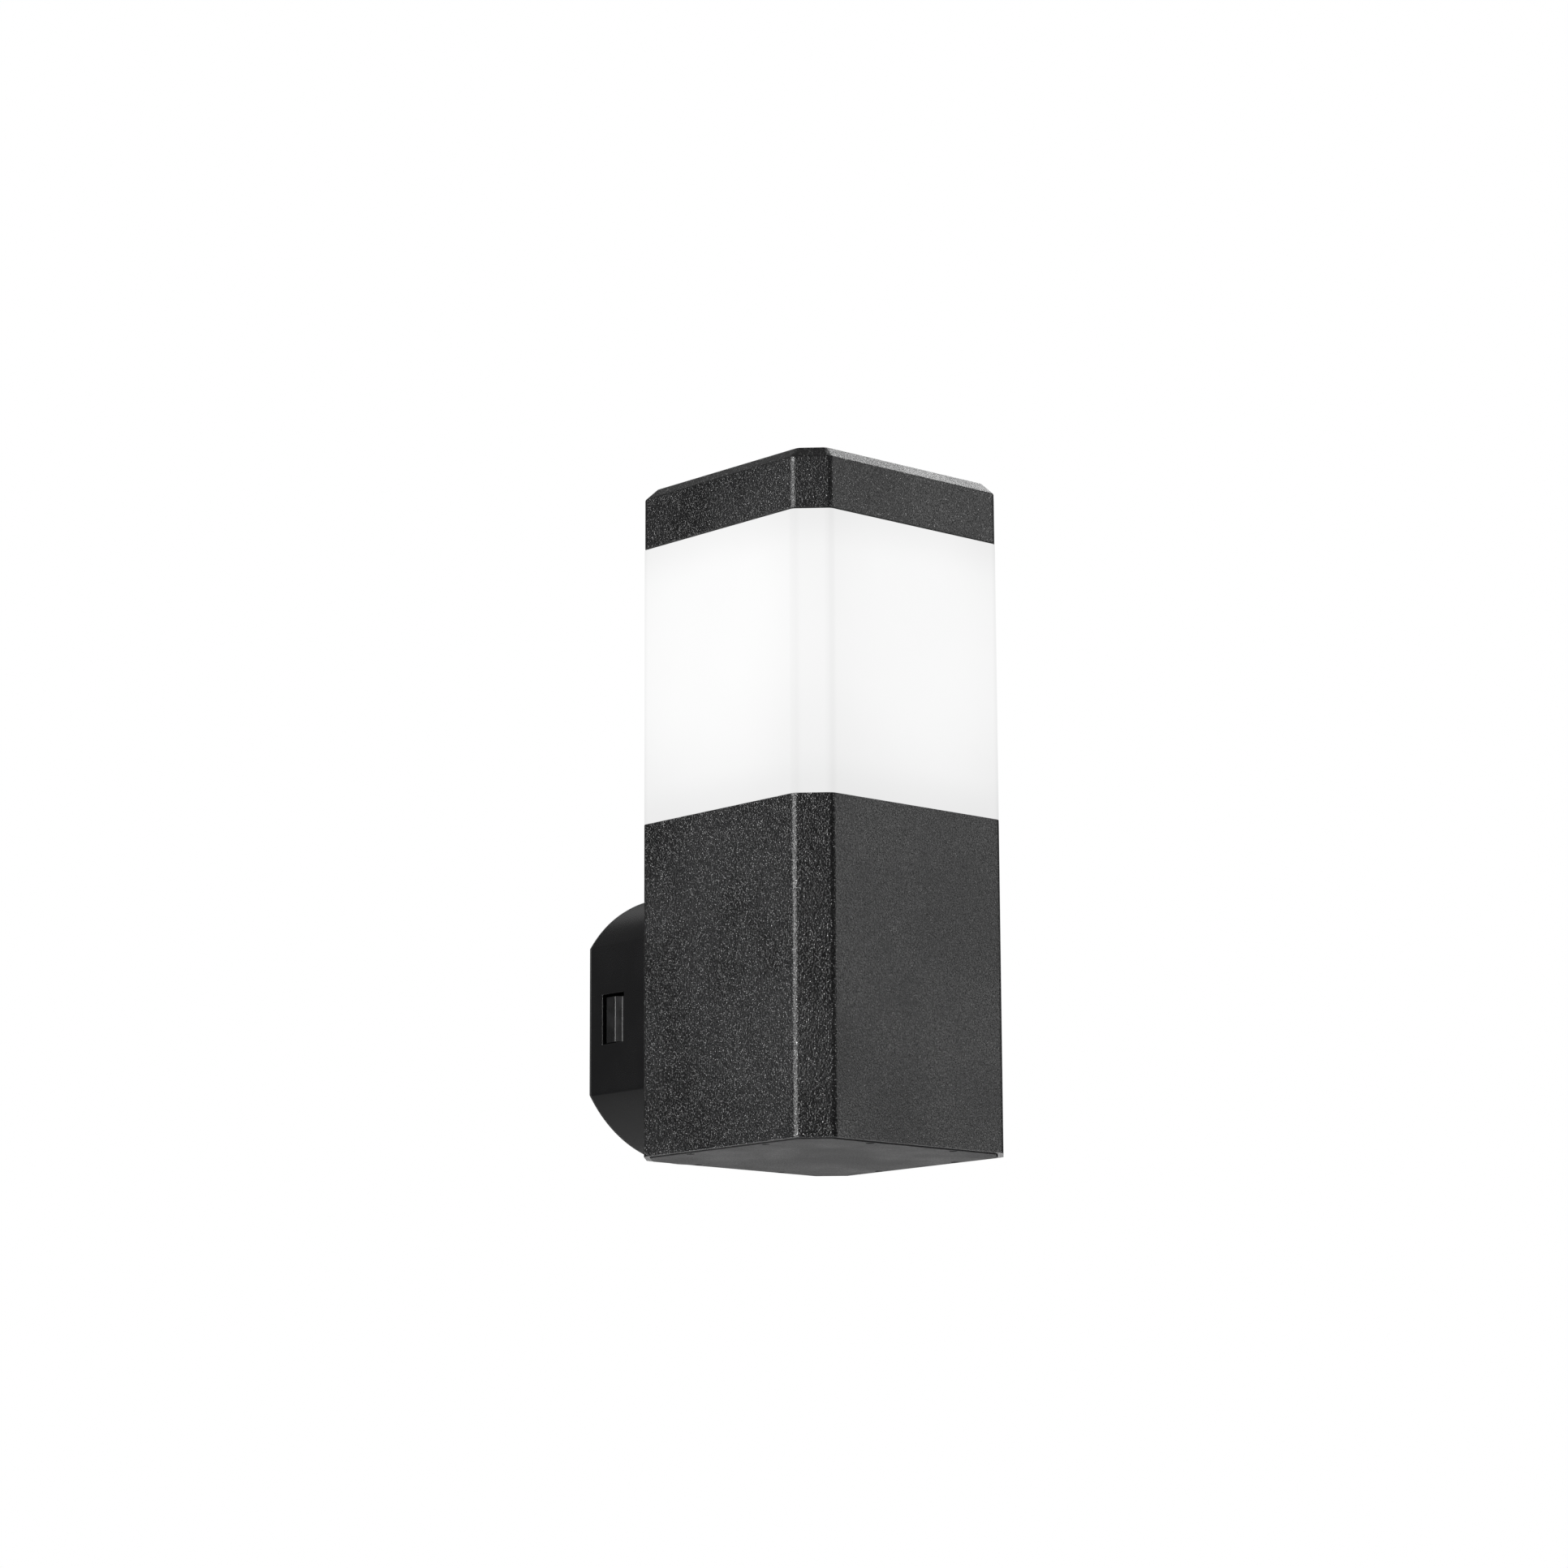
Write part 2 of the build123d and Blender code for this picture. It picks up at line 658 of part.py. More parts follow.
def terminal_tubes():
    tubes = []
    outline = Circle(tube_radius) - Circle(tube_bore_radius)
    for pole in (-1, 0, 1):
        place = Pos(pole * pole_pitch, -tube_depth, block_low + tube_end_gap)
        tube = place * extrude(outline, block_height - 2 * tube_end_gap)
        for side in (-1, 1):
            z = block_z + side * terminal_screw_spacing / 2
            radius = terminal_screw_radius + thread_clearance
            tube -= rod(pole * pole_pitch, z, radius, tube_depth, block_far)
        tubes.append(tube)
    return tubes


def terminal_screws():
    end = tube_depth + tube_bore_radius
    length = block_far - terminal_screw_recess - end
    pin = extrude(Circle(terminal_screw_radius), length)
    pin -= Pos(0, 0, length) * Box(2 * terminal_screw_radius, 0.6, 1.2)
    one = Rot(90, 0, 0) * pin
    pins = []
    for pole in (-1, 0, 1):
        for side in (-1, 1):
            z = block_z + side * terminal_screw_spacing / 2
            pins.append(Pos(pole * pole_pitch, -end, z) * one)
    return pins


def block_screws():
    one = Rot(90, 0, 0) * screw(
        small_screw_radius, block_screw_length, small_head_radius, small_head_height)
    return [Pos(side * pole_pitch / 2, -block_far, block_z) * one for side in (-1, 1)]


def cable_grommet():
    grommet = rod(0, 0, grommet_flange_radius, 0, grommet_seat)
    grommet += rod(0, 0, grommet_radius, 0, plate_thickness + grommet_flange)
    grommet += rod(0, 0, grommet_flange_radius, plate_thickness, plate_thickness + grommet_flange)
    return grommet - rod(0, 0, cable_bore_radius, 0, plate_thickness + grommet_flange)


def wire_grommet():
    near, far = front_inside - grommet_flange, stand_off + body_wall + grommet_flange
    grommet = rod(0, 0, grommet_radius, near, far)
    grommet += rod(0, 0, grommet_flange_radius, near, front_inside)
    grommet += rod(0, 0, grommet_flange_radius, stand_off + body_wall, far)
    for side in (-1, 1):
        grommet -= rod(side * wire_spacing / 2, 0, wire_radius + wire_hole_clearance, near, far)
    return grommet


def earth_screw():
    one = Rot(-90, 0, 0) * screw(
        screw_radius, base_screw_length - base_front, screw_head_radius, screw_head_height)
    return Pos(0, -(stand_off - tag_thickness), earth_z) * one


def earth_tag():
    near = stand_off - tag_thickness
    tag = rod(0, earth_z, tag_radius, near, stand_off)
    neck = tag_neck + tag_barrel_radius
    tag += block(0, earth_z + neck / 2, 2 * tag_barrel_radius, neck, near, stand_off)
    barrel = extrude(Circle(tag_barrel_radius), tag_barrel_length)
    tag += Pos(*tag_start) * Rot(-tag_bend, 0, 0) * barrel
    return tag - rod(0, earth_z, screw_radius + hole_clearance, near, stand_off)


def lamp_wire(side):
    start = block_low + wire_entry
    end_x, end_y = side * 6.2, body_y + bracket_width / 2 + 4
    return wire([
        (side * pole_pitch, -tube_depth, start), (side * 9.8, -tube_depth - 0.4, 8.0),
        (side * 8.4, -tube_depth - 3.2, 2.2), (side * 5.6, -tube_depth - 7.4, -0.6),
        (side * wire_spacing / 2, -front_inside + 3.2, 0),
        (side * wire_spacing / 2, -stand_off - 7.1, 0), (side * 4.4, end_y + 12.5, 2.6),
        (end_x, end_y, holder_low - 12), (end_x, end_y, holder_low)])


def earth_wire():
    start = block_low + wire_entry
    lead = tag_end + tag_way * 7
    return wire([
        (0, -tube_depth, start), (0.3, -tube_depth - 0.2, 3.5), tuple(lead), tuple(tag_end)])


pieces = {
    "column_body": column_body(),
    "bottom_cover": bottom_cover(),
    "deck_plate": deck_plate(),
    "deck_screws": deck_screws(),
    "spring_clips": spring_clips(),
    "clip_rivets": clip_rivets(),
    "skirt_seal": skirt_seal(),
    "diffuser": diffuser(),
    "cap_gasket": cap_gasket(),
    "top_cap": top_cap(),
    "cap_screws": cap_screws(),
    "holder_body": holder_body(),
    "holder_shell": holder_shell(),
    "centre_contact": centre_contact(),
    "holder_bracket": holder_bracket(),
    "bracket_screws": bracket_screws(),
    "bracket_nuts": bracket_nuts(),
    "holder_screws": holder_screws(),
    "lamp_tip": lamp_tip(),
    "lamp_insulator": lamp_insulator(),
    "lamp_cap": lamp_cap(),
    "lamp_housing": lamp_housing(),
    "led_board": led_board(),
    "lamp_globe": lamp_globe(),
    "wall_base": wall_base(),
    "base_gasket": base_gasket(),
    "base_screws": base_screws(),
    "nut_strips": nut_strips(),
    "wall_seal": wall_seal(),
    "wall_plate": wall_plate(),
    "latch_left": latch(-1),
    "latch_right": latch(1),
    "terminal_block": terminal_block(),
    "terminal_tubes": terminal_tubes(),
    "terminal_screws": terminal_screws(),
    "block_screws": block_screws(),
    "cable_grommet": cable_grommet(),
    "wire_grommet": wire_grommet(),
    "earth_screw": earth_screw(),
    "earth_tag": earth_tag(),
    "live_wire": lamp_wire(-1),
    "neutral_wire": lamp_wire(1),
    "earth_wire": earth_wire(),
}

os.makedirs("parts", exist_ok=True)
for name, piece in pieces.items():
    shape = Compound(children=piece) if isinstance(piece, list) else piece
    export_step(shape, f"parts/{name}.step")
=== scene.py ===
import math

import bmesh
import bpy
from mathutils import Matrix, Vector


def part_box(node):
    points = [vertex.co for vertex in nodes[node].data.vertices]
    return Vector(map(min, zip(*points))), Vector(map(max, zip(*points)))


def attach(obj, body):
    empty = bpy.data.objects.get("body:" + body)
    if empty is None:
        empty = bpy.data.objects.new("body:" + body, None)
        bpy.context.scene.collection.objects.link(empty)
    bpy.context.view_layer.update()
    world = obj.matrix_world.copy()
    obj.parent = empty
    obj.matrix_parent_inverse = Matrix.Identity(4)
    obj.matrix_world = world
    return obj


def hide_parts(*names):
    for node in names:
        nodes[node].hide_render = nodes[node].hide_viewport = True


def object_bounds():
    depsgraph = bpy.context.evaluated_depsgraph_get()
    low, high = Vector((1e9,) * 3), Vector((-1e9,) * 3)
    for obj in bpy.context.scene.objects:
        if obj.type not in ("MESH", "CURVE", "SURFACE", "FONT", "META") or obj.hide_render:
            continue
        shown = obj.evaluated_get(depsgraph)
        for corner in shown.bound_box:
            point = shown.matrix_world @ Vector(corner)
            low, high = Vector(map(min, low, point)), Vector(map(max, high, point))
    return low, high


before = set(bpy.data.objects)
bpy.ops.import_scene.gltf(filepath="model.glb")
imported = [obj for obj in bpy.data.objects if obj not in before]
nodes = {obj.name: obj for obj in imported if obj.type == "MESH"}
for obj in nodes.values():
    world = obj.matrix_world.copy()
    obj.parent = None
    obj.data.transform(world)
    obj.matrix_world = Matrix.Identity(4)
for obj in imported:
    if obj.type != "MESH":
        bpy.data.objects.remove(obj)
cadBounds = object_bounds()
print("frame loaded:", len(nodes), "nodes")

columnLow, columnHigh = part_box("column_body")
capLow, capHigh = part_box("top_cap")
shadeLow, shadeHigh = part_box("diffuser")
baseLow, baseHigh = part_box("wall_base")
globeLow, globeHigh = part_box("lamp_globe")
axisX = (columnLow.x + columnHigh.x) / 2
axisY = (columnLow.y + columnHigh.y) / 2
halfWidth = (columnHigh.x - columnLow.x) / 2
lampCentre = Vector((axisX, axisY, globeHigh.z - (globeHigh.x - globeLow.x) / 2))
mm = 0.001

# ---- camera ----
cameraView = {
    "azimuth": -41.93,
    "elevation": -11.01,
    "roll": -0.27,
    "distance": 1.59705,
    "lens": 101.5,
    "aimRight": -0.0136,
    "aimUp": 0.01513,
}


def makeCamera(view):
    a, e, r = (math.radians(view[k]) for k in ("azimuth", "elevation", "roll"))
    right = Vector((math.cos(a), math.sin(a), 0))
    back = Vector((math.sin(a) * math.cos(e), -math.cos(a) * math.cos(e), math.sin(e)))
    up = back.cross(right)
    aim = Vector((axisX, axisY, columnHigh.z)) + right * view["aimRight"] + up * view["aimUp"]
    rolledRight = right * math.cos(r) + up * math.sin(r)
    rolledUp = up * math.cos(r) - right * math.sin(r)
    place = Matrix((rolledRight, rolledUp, back)).transposed().to_4x4()
    place.translation = aim + back * view["distance"]
    data = bpy.data.cameras.new("camera")
    data.lens = view["lens"]
    data.sensor_width = 36
    data.clip_start, data.clip_end = 0.05, 50
    camera = bpy.data.objects.new("camera", data)
    camera.matrix_world = place
    bpy.context.scene.collection.objects.link(camera)
    bpy.context.scene.camera = camera
    return camera


camera = makeCamera(cameraView)
print("camera made")


# ---- node helpers ----
def put(tree, kind, wires=None, **settings):
    node = tree.nodes.new(kind)
    for key, value in settings.items():
        setattr(node, key, value)
    for socket, value in (wires or {}).items():
        target = node.inputs[socket]
        if isinstance(value, bpy.types.NodeSocket):
            tree.links.new(value, target)
        else:
            target.default_value = value
    return node


def maths(tree, operation, a, b=0.0, c=0.0, clamp=False):
    wires = {0: a, 1: b, 2: c}
    return put(tree, "ShaderNodeMath", wires, operation=operation, use_clamp=clamp).outputs[0]


def mixColour(tree, share, a, b, blend="MIX"):
    node = put(tree, "ShaderNodeMix", None, data_type="RGBA", blend_type=blend)
    for index, value in ((0, share), (6, a), (7, b)):
        if isinstance(value, bpy.types.NodeSocket):
            tree.links.new(value, node.inputs[index])
        else:
            node.inputs[index].default_value = value
    return node.outputs[2]


def ramp(tree, value, fromLow, fromHigh, toLow, toHigh, smooth=False):
    wires = {"Value": value, "From Min": fromLow, "From Max": fromHigh, "To Min": toLow, "To Max": toHigh}
    shape = "SMOOTHSTEP" if smooth else "LINEAR"
    return put(tree, "ShaderNodeMapRange", wires, interpolation_type=shape).outputs["Result"]


def newGroup(name, inputs, outputs):
    group = bpy.data.node_groups.new(name, "ShaderNodeTree")
    for label, kind, value in inputs:
        socket = group.interface.new_socket(name=label, in_out="INPUT", socket_type="NodeSocket" + kind)
        if value is not None:
            socket.default_value = value
    for label, kind in outputs:
        group.interface.new_socket(name=label, in_out="OUTPUT", socket_type="NodeSocket" + kind)
    ways = group.nodes.new("NodeGroupInput")
    return group, ways.outputs


def closeGroup(group, **results):
    out = group.nodes.new("NodeGroupOutput")
    for label, value in results.items():
        group.links.new(value, out.inputs[label])
    return group


def makeToneGroup():
    # slow patches and fine grain between two colours
    group, ways = newGroup(
        "surfaceTone",
        [("Vector", "Vector", None), ("Light", "Color", (1, 1, 1, 1)), ("Dark", "Color", (0, 0, 0, 1)),
         ("PatchScale", "Float", 30.0), ("GrainScale", "Float", 900.0)],
        [("Color", "Color"), ("Patch", "Float"), ("Grain", "Float")])
    patch = put(group, "ShaderNodeTexNoise", {
        "Vector": ways["Vector"], "Scale": ways["PatchScale"], "Detail": 4.0, "Roughness": 0.55})
    grain = put(group, "ShaderNodeTexNoise", {
        "Vector": ways["Vector"], "Scale": ways["GrainScale"], "Detail": 2.0, "Roughness": 0.6})
    patchValue = ramp(group, patch.outputs["Fac"], 0.35, 0.65, 0.0, 1.0, True)
    grainValue = ramp(group, grain.outputs["Fac"], 0.3, 0.7, 0.0, 1.0)
    share = maths(group, "ADD", maths(group, "MULTIPLY", patchValue, 0.4), maths(group, "MULTIPLY", grainValue, 0.6))
    colour = mixColour(group, share, ways["Dark"], ways["Light"])
    return closeGroup(group, Color=colour, Patch=patchValue, Grain=grainValue)


def makeWearGroup():
    # rubbed edges: where a rounded normal leaves the true one, broken up by noise
    group, ways = newGroup(
        "edgeWear",
        [("Vector", "Vector", None), ("Radius", "Float", 0.0006), ("Amount", "Float", 0.5),
         ("BreakScale", "Float", 400.0)],
        [("Mask", "Float")])
    rounded = put(group, "ShaderNodeBevel", {"Radius": ways["Radius"]}, samples=4)
    true = put(group, "ShaderNodeNewGeometry")
    dot = put(group, "ShaderNodeVectorMath", {0: rounded.outputs[0], 1: true.outputs["Normal"]}, operation="DOT_PRODUCT")
    turn = ramp(group, maths(group, "SUBTRACT", 1.0, dot.outputs["Value"]), 0.01, 0.16, 0.0, 1.0, True)
    broken = put(group, "ShaderNodeTexNoise", {"Vector": ways["Vector"], "Scale": ways["BreakScale"], "Detail": 4.0})
    chips = ramp(group, broken.outputs["Fac"], 0.42, 0.6, 0.0, 1.0, True)
    mask = maths(group, "MULTIPLY", maths(group, "MULTIPLY", turn, chips), ways["Amount"], clamp=True)
    return closeGroup(group, Mask=mask)


def makeFlakeGroup():
    # metallic flakes in the coating: each cell leans its own way
    group, ways = newGroup(
        "metalFlakes",
        [("Vector", "Vector", None), ("Scale", "Float", 2090.0), ("Share", "Float", 0.1), ("Lean", "Float", 0.9)],
        [("Mask", "Float"), ("Tone", "Float"), ("Normal", "Vector")])
    cells = put(group, "ShaderNodeTexVoronoi", {"Vector": ways["Vector"], "Scale": ways["Scale"], "Randomness": 0.85})
    parts = put(group, "ShaderNodeSeparateColor", {"Color": cells.outputs["Color"]})
    limit = maths(group, "SUBTRACT", 1.0, ways["Share"])
    chosen = maths(group, "GREATER_THAN", parts.outputs["Red"], limit)
    body = ramp(group, cells.outputs["Distance"], 0.18, 0.37, 1.0, 0.0, True)
    mask = maths(group, "MULTIPLY", chosen, body)
    centred = put(group, "ShaderNodeVectorMath", {0: cells.outputs["Color"], 1: (0.5, 0.5, 0.5)}, operation="SUBTRACT")
    reach = maths(group, "MULTIPLY", mask, ways["Lean"])
    leant = put(group, "ShaderNodeVectorMath", {0: centred.outputs[0], "Scale": reach}, operation="SCALE")
    true = put(group, "ShaderNodeNewGeometry")
    summed = put(group, "ShaderNodeVectorMath", {0: true.outputs["Normal"], 1: leant.outputs[0]}, operation="ADD")
    normal = put(group, "ShaderNodeVectorMath", {0: summed.outputs[0]}, operation="NORMALIZE")
    return closeGroup(group, Mask=mask, Tone=parts.outputs["Green"], Normal=normal.outputs[0])


def makePeelGroup():
    # the pebbled surface of baked powder or moulded plastic
    group, ways = newGroup(
        "pebble",
        [("Vector", "Vector", None), ("Scale", "Float", 1100.0), ("Fine", "Float", 0.4)],
        [("Height", "Float")])
    coarse = put(group, "ShaderNodeTexNoise", {
        "Vector": ways["Vector"], "Scale": ways["Scale"], "Detail": 1.0, "Distortion": 0.6})
    fineScale = maths(group, "MULTIPLY", ways["Scale"], 2.7)
    fine = put(group, "ShaderNodeTexNoise", {"Vector": ways["Vector"], "Scale": fineScale, "Detail": 2.0})
    low = ramp(group, coarse.outputs["Fac"], 0.3, 0.7, 0.0, 1.0, True)
    high = maths(group, "MULTIPLY", fine.outputs["Fac"], ways["Fine"])
    return closeGroup(group, Height=maths(group, "ADD", low, high))


def makeStreakGroup():
    # drawing or rolling marks, long in one direction
    group, ways = newGroup(
        "drawMarks",
        [("Vector", "Vector", None), ("Stretch", "Vector", (1.0, 1.0, 0.03)), ("Scale", "Float", 1500.0)],
        [("Value", "Float")])
    stretched = put(group, "ShaderNodeVectorMath", {0: ways["Vector"], 1: ways["Stretch"]}, operation="MULTIPLY")
    marks = put(group, "ShaderNodeTexNoise", {
        "Vector": stretched.outputs[0], "Scale": ways["Scale"], "Detail": 3.0, "Roughness": 0.65})
    return closeGroup(group, Value=ramp(group, marks.outputs["Fac"], 0.3, 0.7, 0.0, 1.0))


groups = {
    "tone": makeToneGroup(),
    "wear": makeWearGroup(),
    "flakes": makeFlakeGroup(),
    "pebble": makePeelGroup(),
    "streaks": makeStreakGroup(),
}
print("node groups made:", len(groups))

# ---- finishes: two tones, roughness range, grain, pebble or drawing marks, worn edges ----
finishes = {
    "powderCoat": {
        "light": (0.009, 0.009, 0.0095), "dark": (0.0015, 0.0015, 0.0016), "rough": (0.22, 0.4),
        "patch": 22, "grain": 1500, "pebble": 1500, "depth": 0.00011, "bump": 0.8,
        "wear": 0.35, "wearRadius": 0.0009, "wearColour": (0.12, 0.12, 0.125), "flakes": 0.4,
    },
    "blackPlastic": {
        "light": (0.0055, 0.0055, 0.0058), "dark": (0.003, 0.003, 0.0032), "rough": (0.22, 0.3),
        "patch": 35, "grain": 2600, "pebble": 3200, "depth": 0.00003, "bump": 0.25,
        "wear": 0.2, "wearRadius": 0.0006, "wearColour": (0.05, 0.05, 0.052),
    },
    "coverPlastic": {
        "light": (0.05, 0.05, 0.051), "dark": (0.034, 0.034, 0.035), "rough": (0.42, 0.66),
        "patch": 28, "grain": 2200, "pebble": 1500, "depth": 0.00009, "bump": 0.7,
        "wear": 0.25, "wearRadius": 0.0005, "wearColour": (0.1, 0.1, 0.1),
    },
    "latchPlastic": {
        "light": (0.009, 0.009, 0.0095), "dark": (0.003, 0.003, 0.003), "rough": (0.24, 0.38),
        "patch": 240, "grain": 1600, "stretch": (1.0, 1.0, 0.12), "streak": 1300, "depth": 0.00001, "bump": 0.35,
        "wear": 0.15, "wearRadius": 0.0003, "wearColour": (0.03, 0.03, 0.032),
    },
    "whitePaint": {
        "light": (0.78, 0.78, 0.765), "dark": (0.7, 0.7, 0.68), "rough": (0.4, 0.52),
        "patch": 30, "grain": 900, "pebble": 1500, "depth": 0.00006, "bump": 0.35,
        "wear": 0.3, "wearRadius": 0.0005, "wearColour": (0.5, 0.5, 0.49),
    },
    "zincSteel": {
        "light": (0.62, 0.62, 0.6), "dark": (0.46, 0.47, 0.48), "rough": (0.3, 0.46), "metal": 1.0,
        "patch": 160, "grain": 1800, "pebble": 2600, "depth": 0.00003, "bump": 0.3,
        "wear": 0.5, "wearRadius": 0.0004, "wearColour": (0.8, 0.8, 0.79),
    },
    "springSteel": {
        "light": (0.6, 0.59, 0.57), "dark": (0.44, 0.43, 0.42), "rough": (0.2, 0.34), "metal": 1.0,
        "patch": 120, "grain": 1400, "stretch": (1.0, 1.0, 0.04), "streak": 2200, "depth": 0.00002, "bump": 0.3,
        "wear": 0.4, "wearRadius": 0.0003, "wearColour": (0.8, 0.79, 0.77),
    },
    "blackRubber": {
        "light": (0.024, 0.024, 0.024), "dark": (0.014, 0.014, 0.014), "rough": (0.66, 0.82),
        "patch": 60, "grain": 2400, "pebble": 2800, "depth": 0.00006, "bump": 0.45,
        "wear": 0.4, "wearRadius": 0.0004, "wearColour": (0.05, 0.05, 0.05),
    },
    "porcelain": {
        "light": (0.84, 0.83, 0.79), "dark": (0.76, 0.745, 0.7), "rough": (0.1, 0.2), "coat": 0.6,
        "patch": 50, "grain": 700, "pebble": 380, "depth": 0.0001, "bump": 0.15,
        "wear": 0.3, "wearRadius": 0.0008, "wearColour": (0.6, 0.57, 0.5),
    },
    "nickel": {
        "light": (0.7, 0.67, 0.61), "dark": (0.56, 0.53, 0.48), "rough": (0.16, 0.3), "metal": 1.0,
        "patch": 140, "grain": 1500, "stretch": (0.08, 0.08, 1.0), "streak": 2600, "depth": 0.00002, "bump": 0.25,
        "wear": 0.4, "wearRadius": 0.0004, "wearColour": (0.85, 0.82, 0.76),
    },
    "brass": {
        "light": (0.76, 0.56, 0.25), "dark": (0.55, 0.38, 0.16), "rough": (0.22, 0.38), "metal": 1.0,
        "patch": 130, "grain": 1600, "stretch": (1.0, 1.0, 0.06), "streak": 2200, "depth": 0.00002, "bump": 0.3,
        "wear": 0.4, "wearRadius": 0.0004, "wearColour": (0.9, 0.72, 0.4),
    },
    "blackGlass": {
        "light": (0.012, 0.011, 0.014), "dark": (0.006, 0.006, 0.008), "rough": (0.05, 0.12), "coat": 0.5,
        "patch": 90, "grain": 800, "pebble": 500, "depth": 0.00005, "bump": 0.15,
        "wear": 0.2, "wearRadius": 0.0004, "wearColour": (0.05, 0.05, 0.05),
    },
    "whitePlastic": {
        "light": (0.83, 0.83, 0.82), "dark": (0.77, 0.77, 0.755), "rough": (0.3, 0.42),
        "patch": 40, "grain": 1800, "pebble": 2400, "depth": 0.00003, "bump": 0.25,
        "wear": 0.2, "wearRadius": 0.0006, "wearColour": (0.62, 0.62, 0.6),
    },
    "ledBoard": {
        "light": (0.86, 0.86, 0.84), "dark": (0.78, 0.78, 0.75), "rough": (0.35, 0.5),
        "patch": 70, "grain": 1500, "pebble": 1900, "depth": 0.00003, "bump": 0.3,
        "wear": 0.3, "wearRadius": 0.0003, "wearColour": (0.5, 0.46, 0.36),
    },
    "blockPlastic": {
        "light": (0.74, 0.72, 0.66), "dark": (0.64, 0.62, 0.56), "rough": (0.32, 0.48),
        "patch": 60, "grain": 1700, "pebble": 2200, "depth": 0.00004, "bump": 0.3,
        "wear": 0.3, "wearRadius": 0.0005, "wearColour": (0.85, 0.84, 0.8),
    },
    "brownSleeve": {
        "light": (0.2, 0.085, 0.035), "dark": (0.14, 0.055, 0.022), "rough": (0.34, 0.5),
        "patch": 80, "grain": 1600, "pebble": 1400, "depth": 0.00004, "bump": 0.3,
        "wear": 0.2, "wearRadius": 0.0003, "wearColour": (0.3, 0.15, 0.08),
    },
    "blueSleeve": {
        "light": (0.03, 0.12, 0.42), "dark": (0.02, 0.08, 0.3), "rough": (0.34, 0.5),
        "patch": 80, "grain": 1600, "pebble": 1400, "depth": 0.00004, "bump": 0.3,
        "wear": 0.2, "wearRadius": 0.0003, "wearColour": (0.1, 0.22, 0.55),
    },
}


def objectPlace(tree):
    return tree.nodes.new("ShaderNodeTexCoord").outputs["Object"]


def opaque(colour):
    return (*colour, 1.0)


def newMaterial(name):
    material = bpy.data.materials.new(name)
    material.use_nodes = True
    tree = material.node_tree
    tree.nodes.clear()
    shader = tree.nodes.new("ShaderNodeBsdfPrincipled")
    out = tree.nodes.new("ShaderNodeOutputMaterial")
    tree.links.new(shader.outputs["BSDF"], out.inputs["Surface"])
    return material, tree, shader


def useGroup(tree, key, wires):
    node = tree.nodes.new("ShaderNodeGroup")
    node.node_tree = groups[key]
    for socket, value in wires.items():
        if isinstance(value, bpy.types.NodeSocket):
            tree.links.new(value, node.inputs[socket])
        else:
            node.inputs[socket].default_value = value
    return node.outputs


def surfaceHeight(tree, place, spec):
    if "streak" in spec:
        return useGroup(tree, "streaks", {
            "Vector": place, "Stretch": spec["stretch"], "Scale": spec["streak"]})["Value"]
    return useGroup(tree, "pebble", {"Vector": place, "Scale": spec["pebble"]})["Height"]


def makeFinish(name, spec):
    material, tree, shader = newMaterial(name)
    place = objectPlace(tree)
    tone = useGroup(tree, "tone", {
        "Vector": place, "Light": opaque(spec["light"]), "Dark": opaque(spec["dark"]),
        "PatchScale": spec["patch"], "GrainScale": spec["grain"]})
    worn = useGroup(tree, "wear", {"Vector": place, "Radius": spec["wearRadius"], "Amount": spec["wear"]})
    colour = mixColour(tree, worn["Mask"], tone["Color"], opaque(spec["wearColour"]))
    height = surfaceHeight(tree, place, spec)
    share = maths(tree, "ADD", maths(tree, "MULTIPLY", tone["Patch"], 0.5), maths(tree, "MULTIPLY", height, 0.4))
    rough = ramp(tree, share, 0.0, 1.0, *spec["rough"])
    rounded = put(tree, "ShaderNodeBevel", {"Radius": 0.00025}, samples=4)
    bumpWires = {"Height": height, "Strength": spec["bump"], "Distance": spec["depth"], "Normal": rounded.outputs[0]}
    shader.inputs["Metallic"].default_value = spec.get("metal", 0.0)
    shader.inputs["Coat Weight"].default_value = spec.get("coat", 0.0)
    if "flakes" in spec:
        flakes = useGroup(tree, "flakes", {"Vector": place, "Share": spec["flakes"]})
        bright = ramp(tree, maths(tree, "POWER", flakes["Tone"], 2.0), 0.0, 1.0, 0.04, 0.8)
        grey = put(tree, "ShaderNodeCombineColor", {"Red": bright, "Green": bright, "Blue": bright}).outputs[0]
        colour = mixColour(tree, flakes["Mask"], colour, grey)
        tree.links.new(maths(tree, "MULTIPLY", flakes["Mask"], 0.3), shader.inputs["Metallic"])
        rough = maths(tree, "SUBTRACT", rough, maths(tree, "MULTIPLY", flakes["Mask"], 0.16))
        bumpWires["Normal"] = flakes["Normal"]
    bump = put(tree, "ShaderNodeBump", bumpWires)
    tree.links.new(colour, shader.inputs["Base Color"])
    tree.links.new(rough, shader.inputs["Roughness"])
    tree.links.new(bump.outputs[0], shader.inputs["Normal"])
    return material


# ---- lit opal plastic: brightest where the lamp is nearest ----
opalLight = {
    "base": (0.03, 0.03, 0.03),
    "near": 1.0,
    "far": 0.9,
    "nearDistance": 0.05,
    "farDistance": 0.088,
    "endDepth": 0.016,  # dimmer towards both ends
    "endLevel": 0.955,
    "creaseAt": 0.0403,  # a thin shadow at each corner edge
    "creaseWidth": 0.0024,
    "creaseLevel": 0.95,
    "strength": 0.93,
}


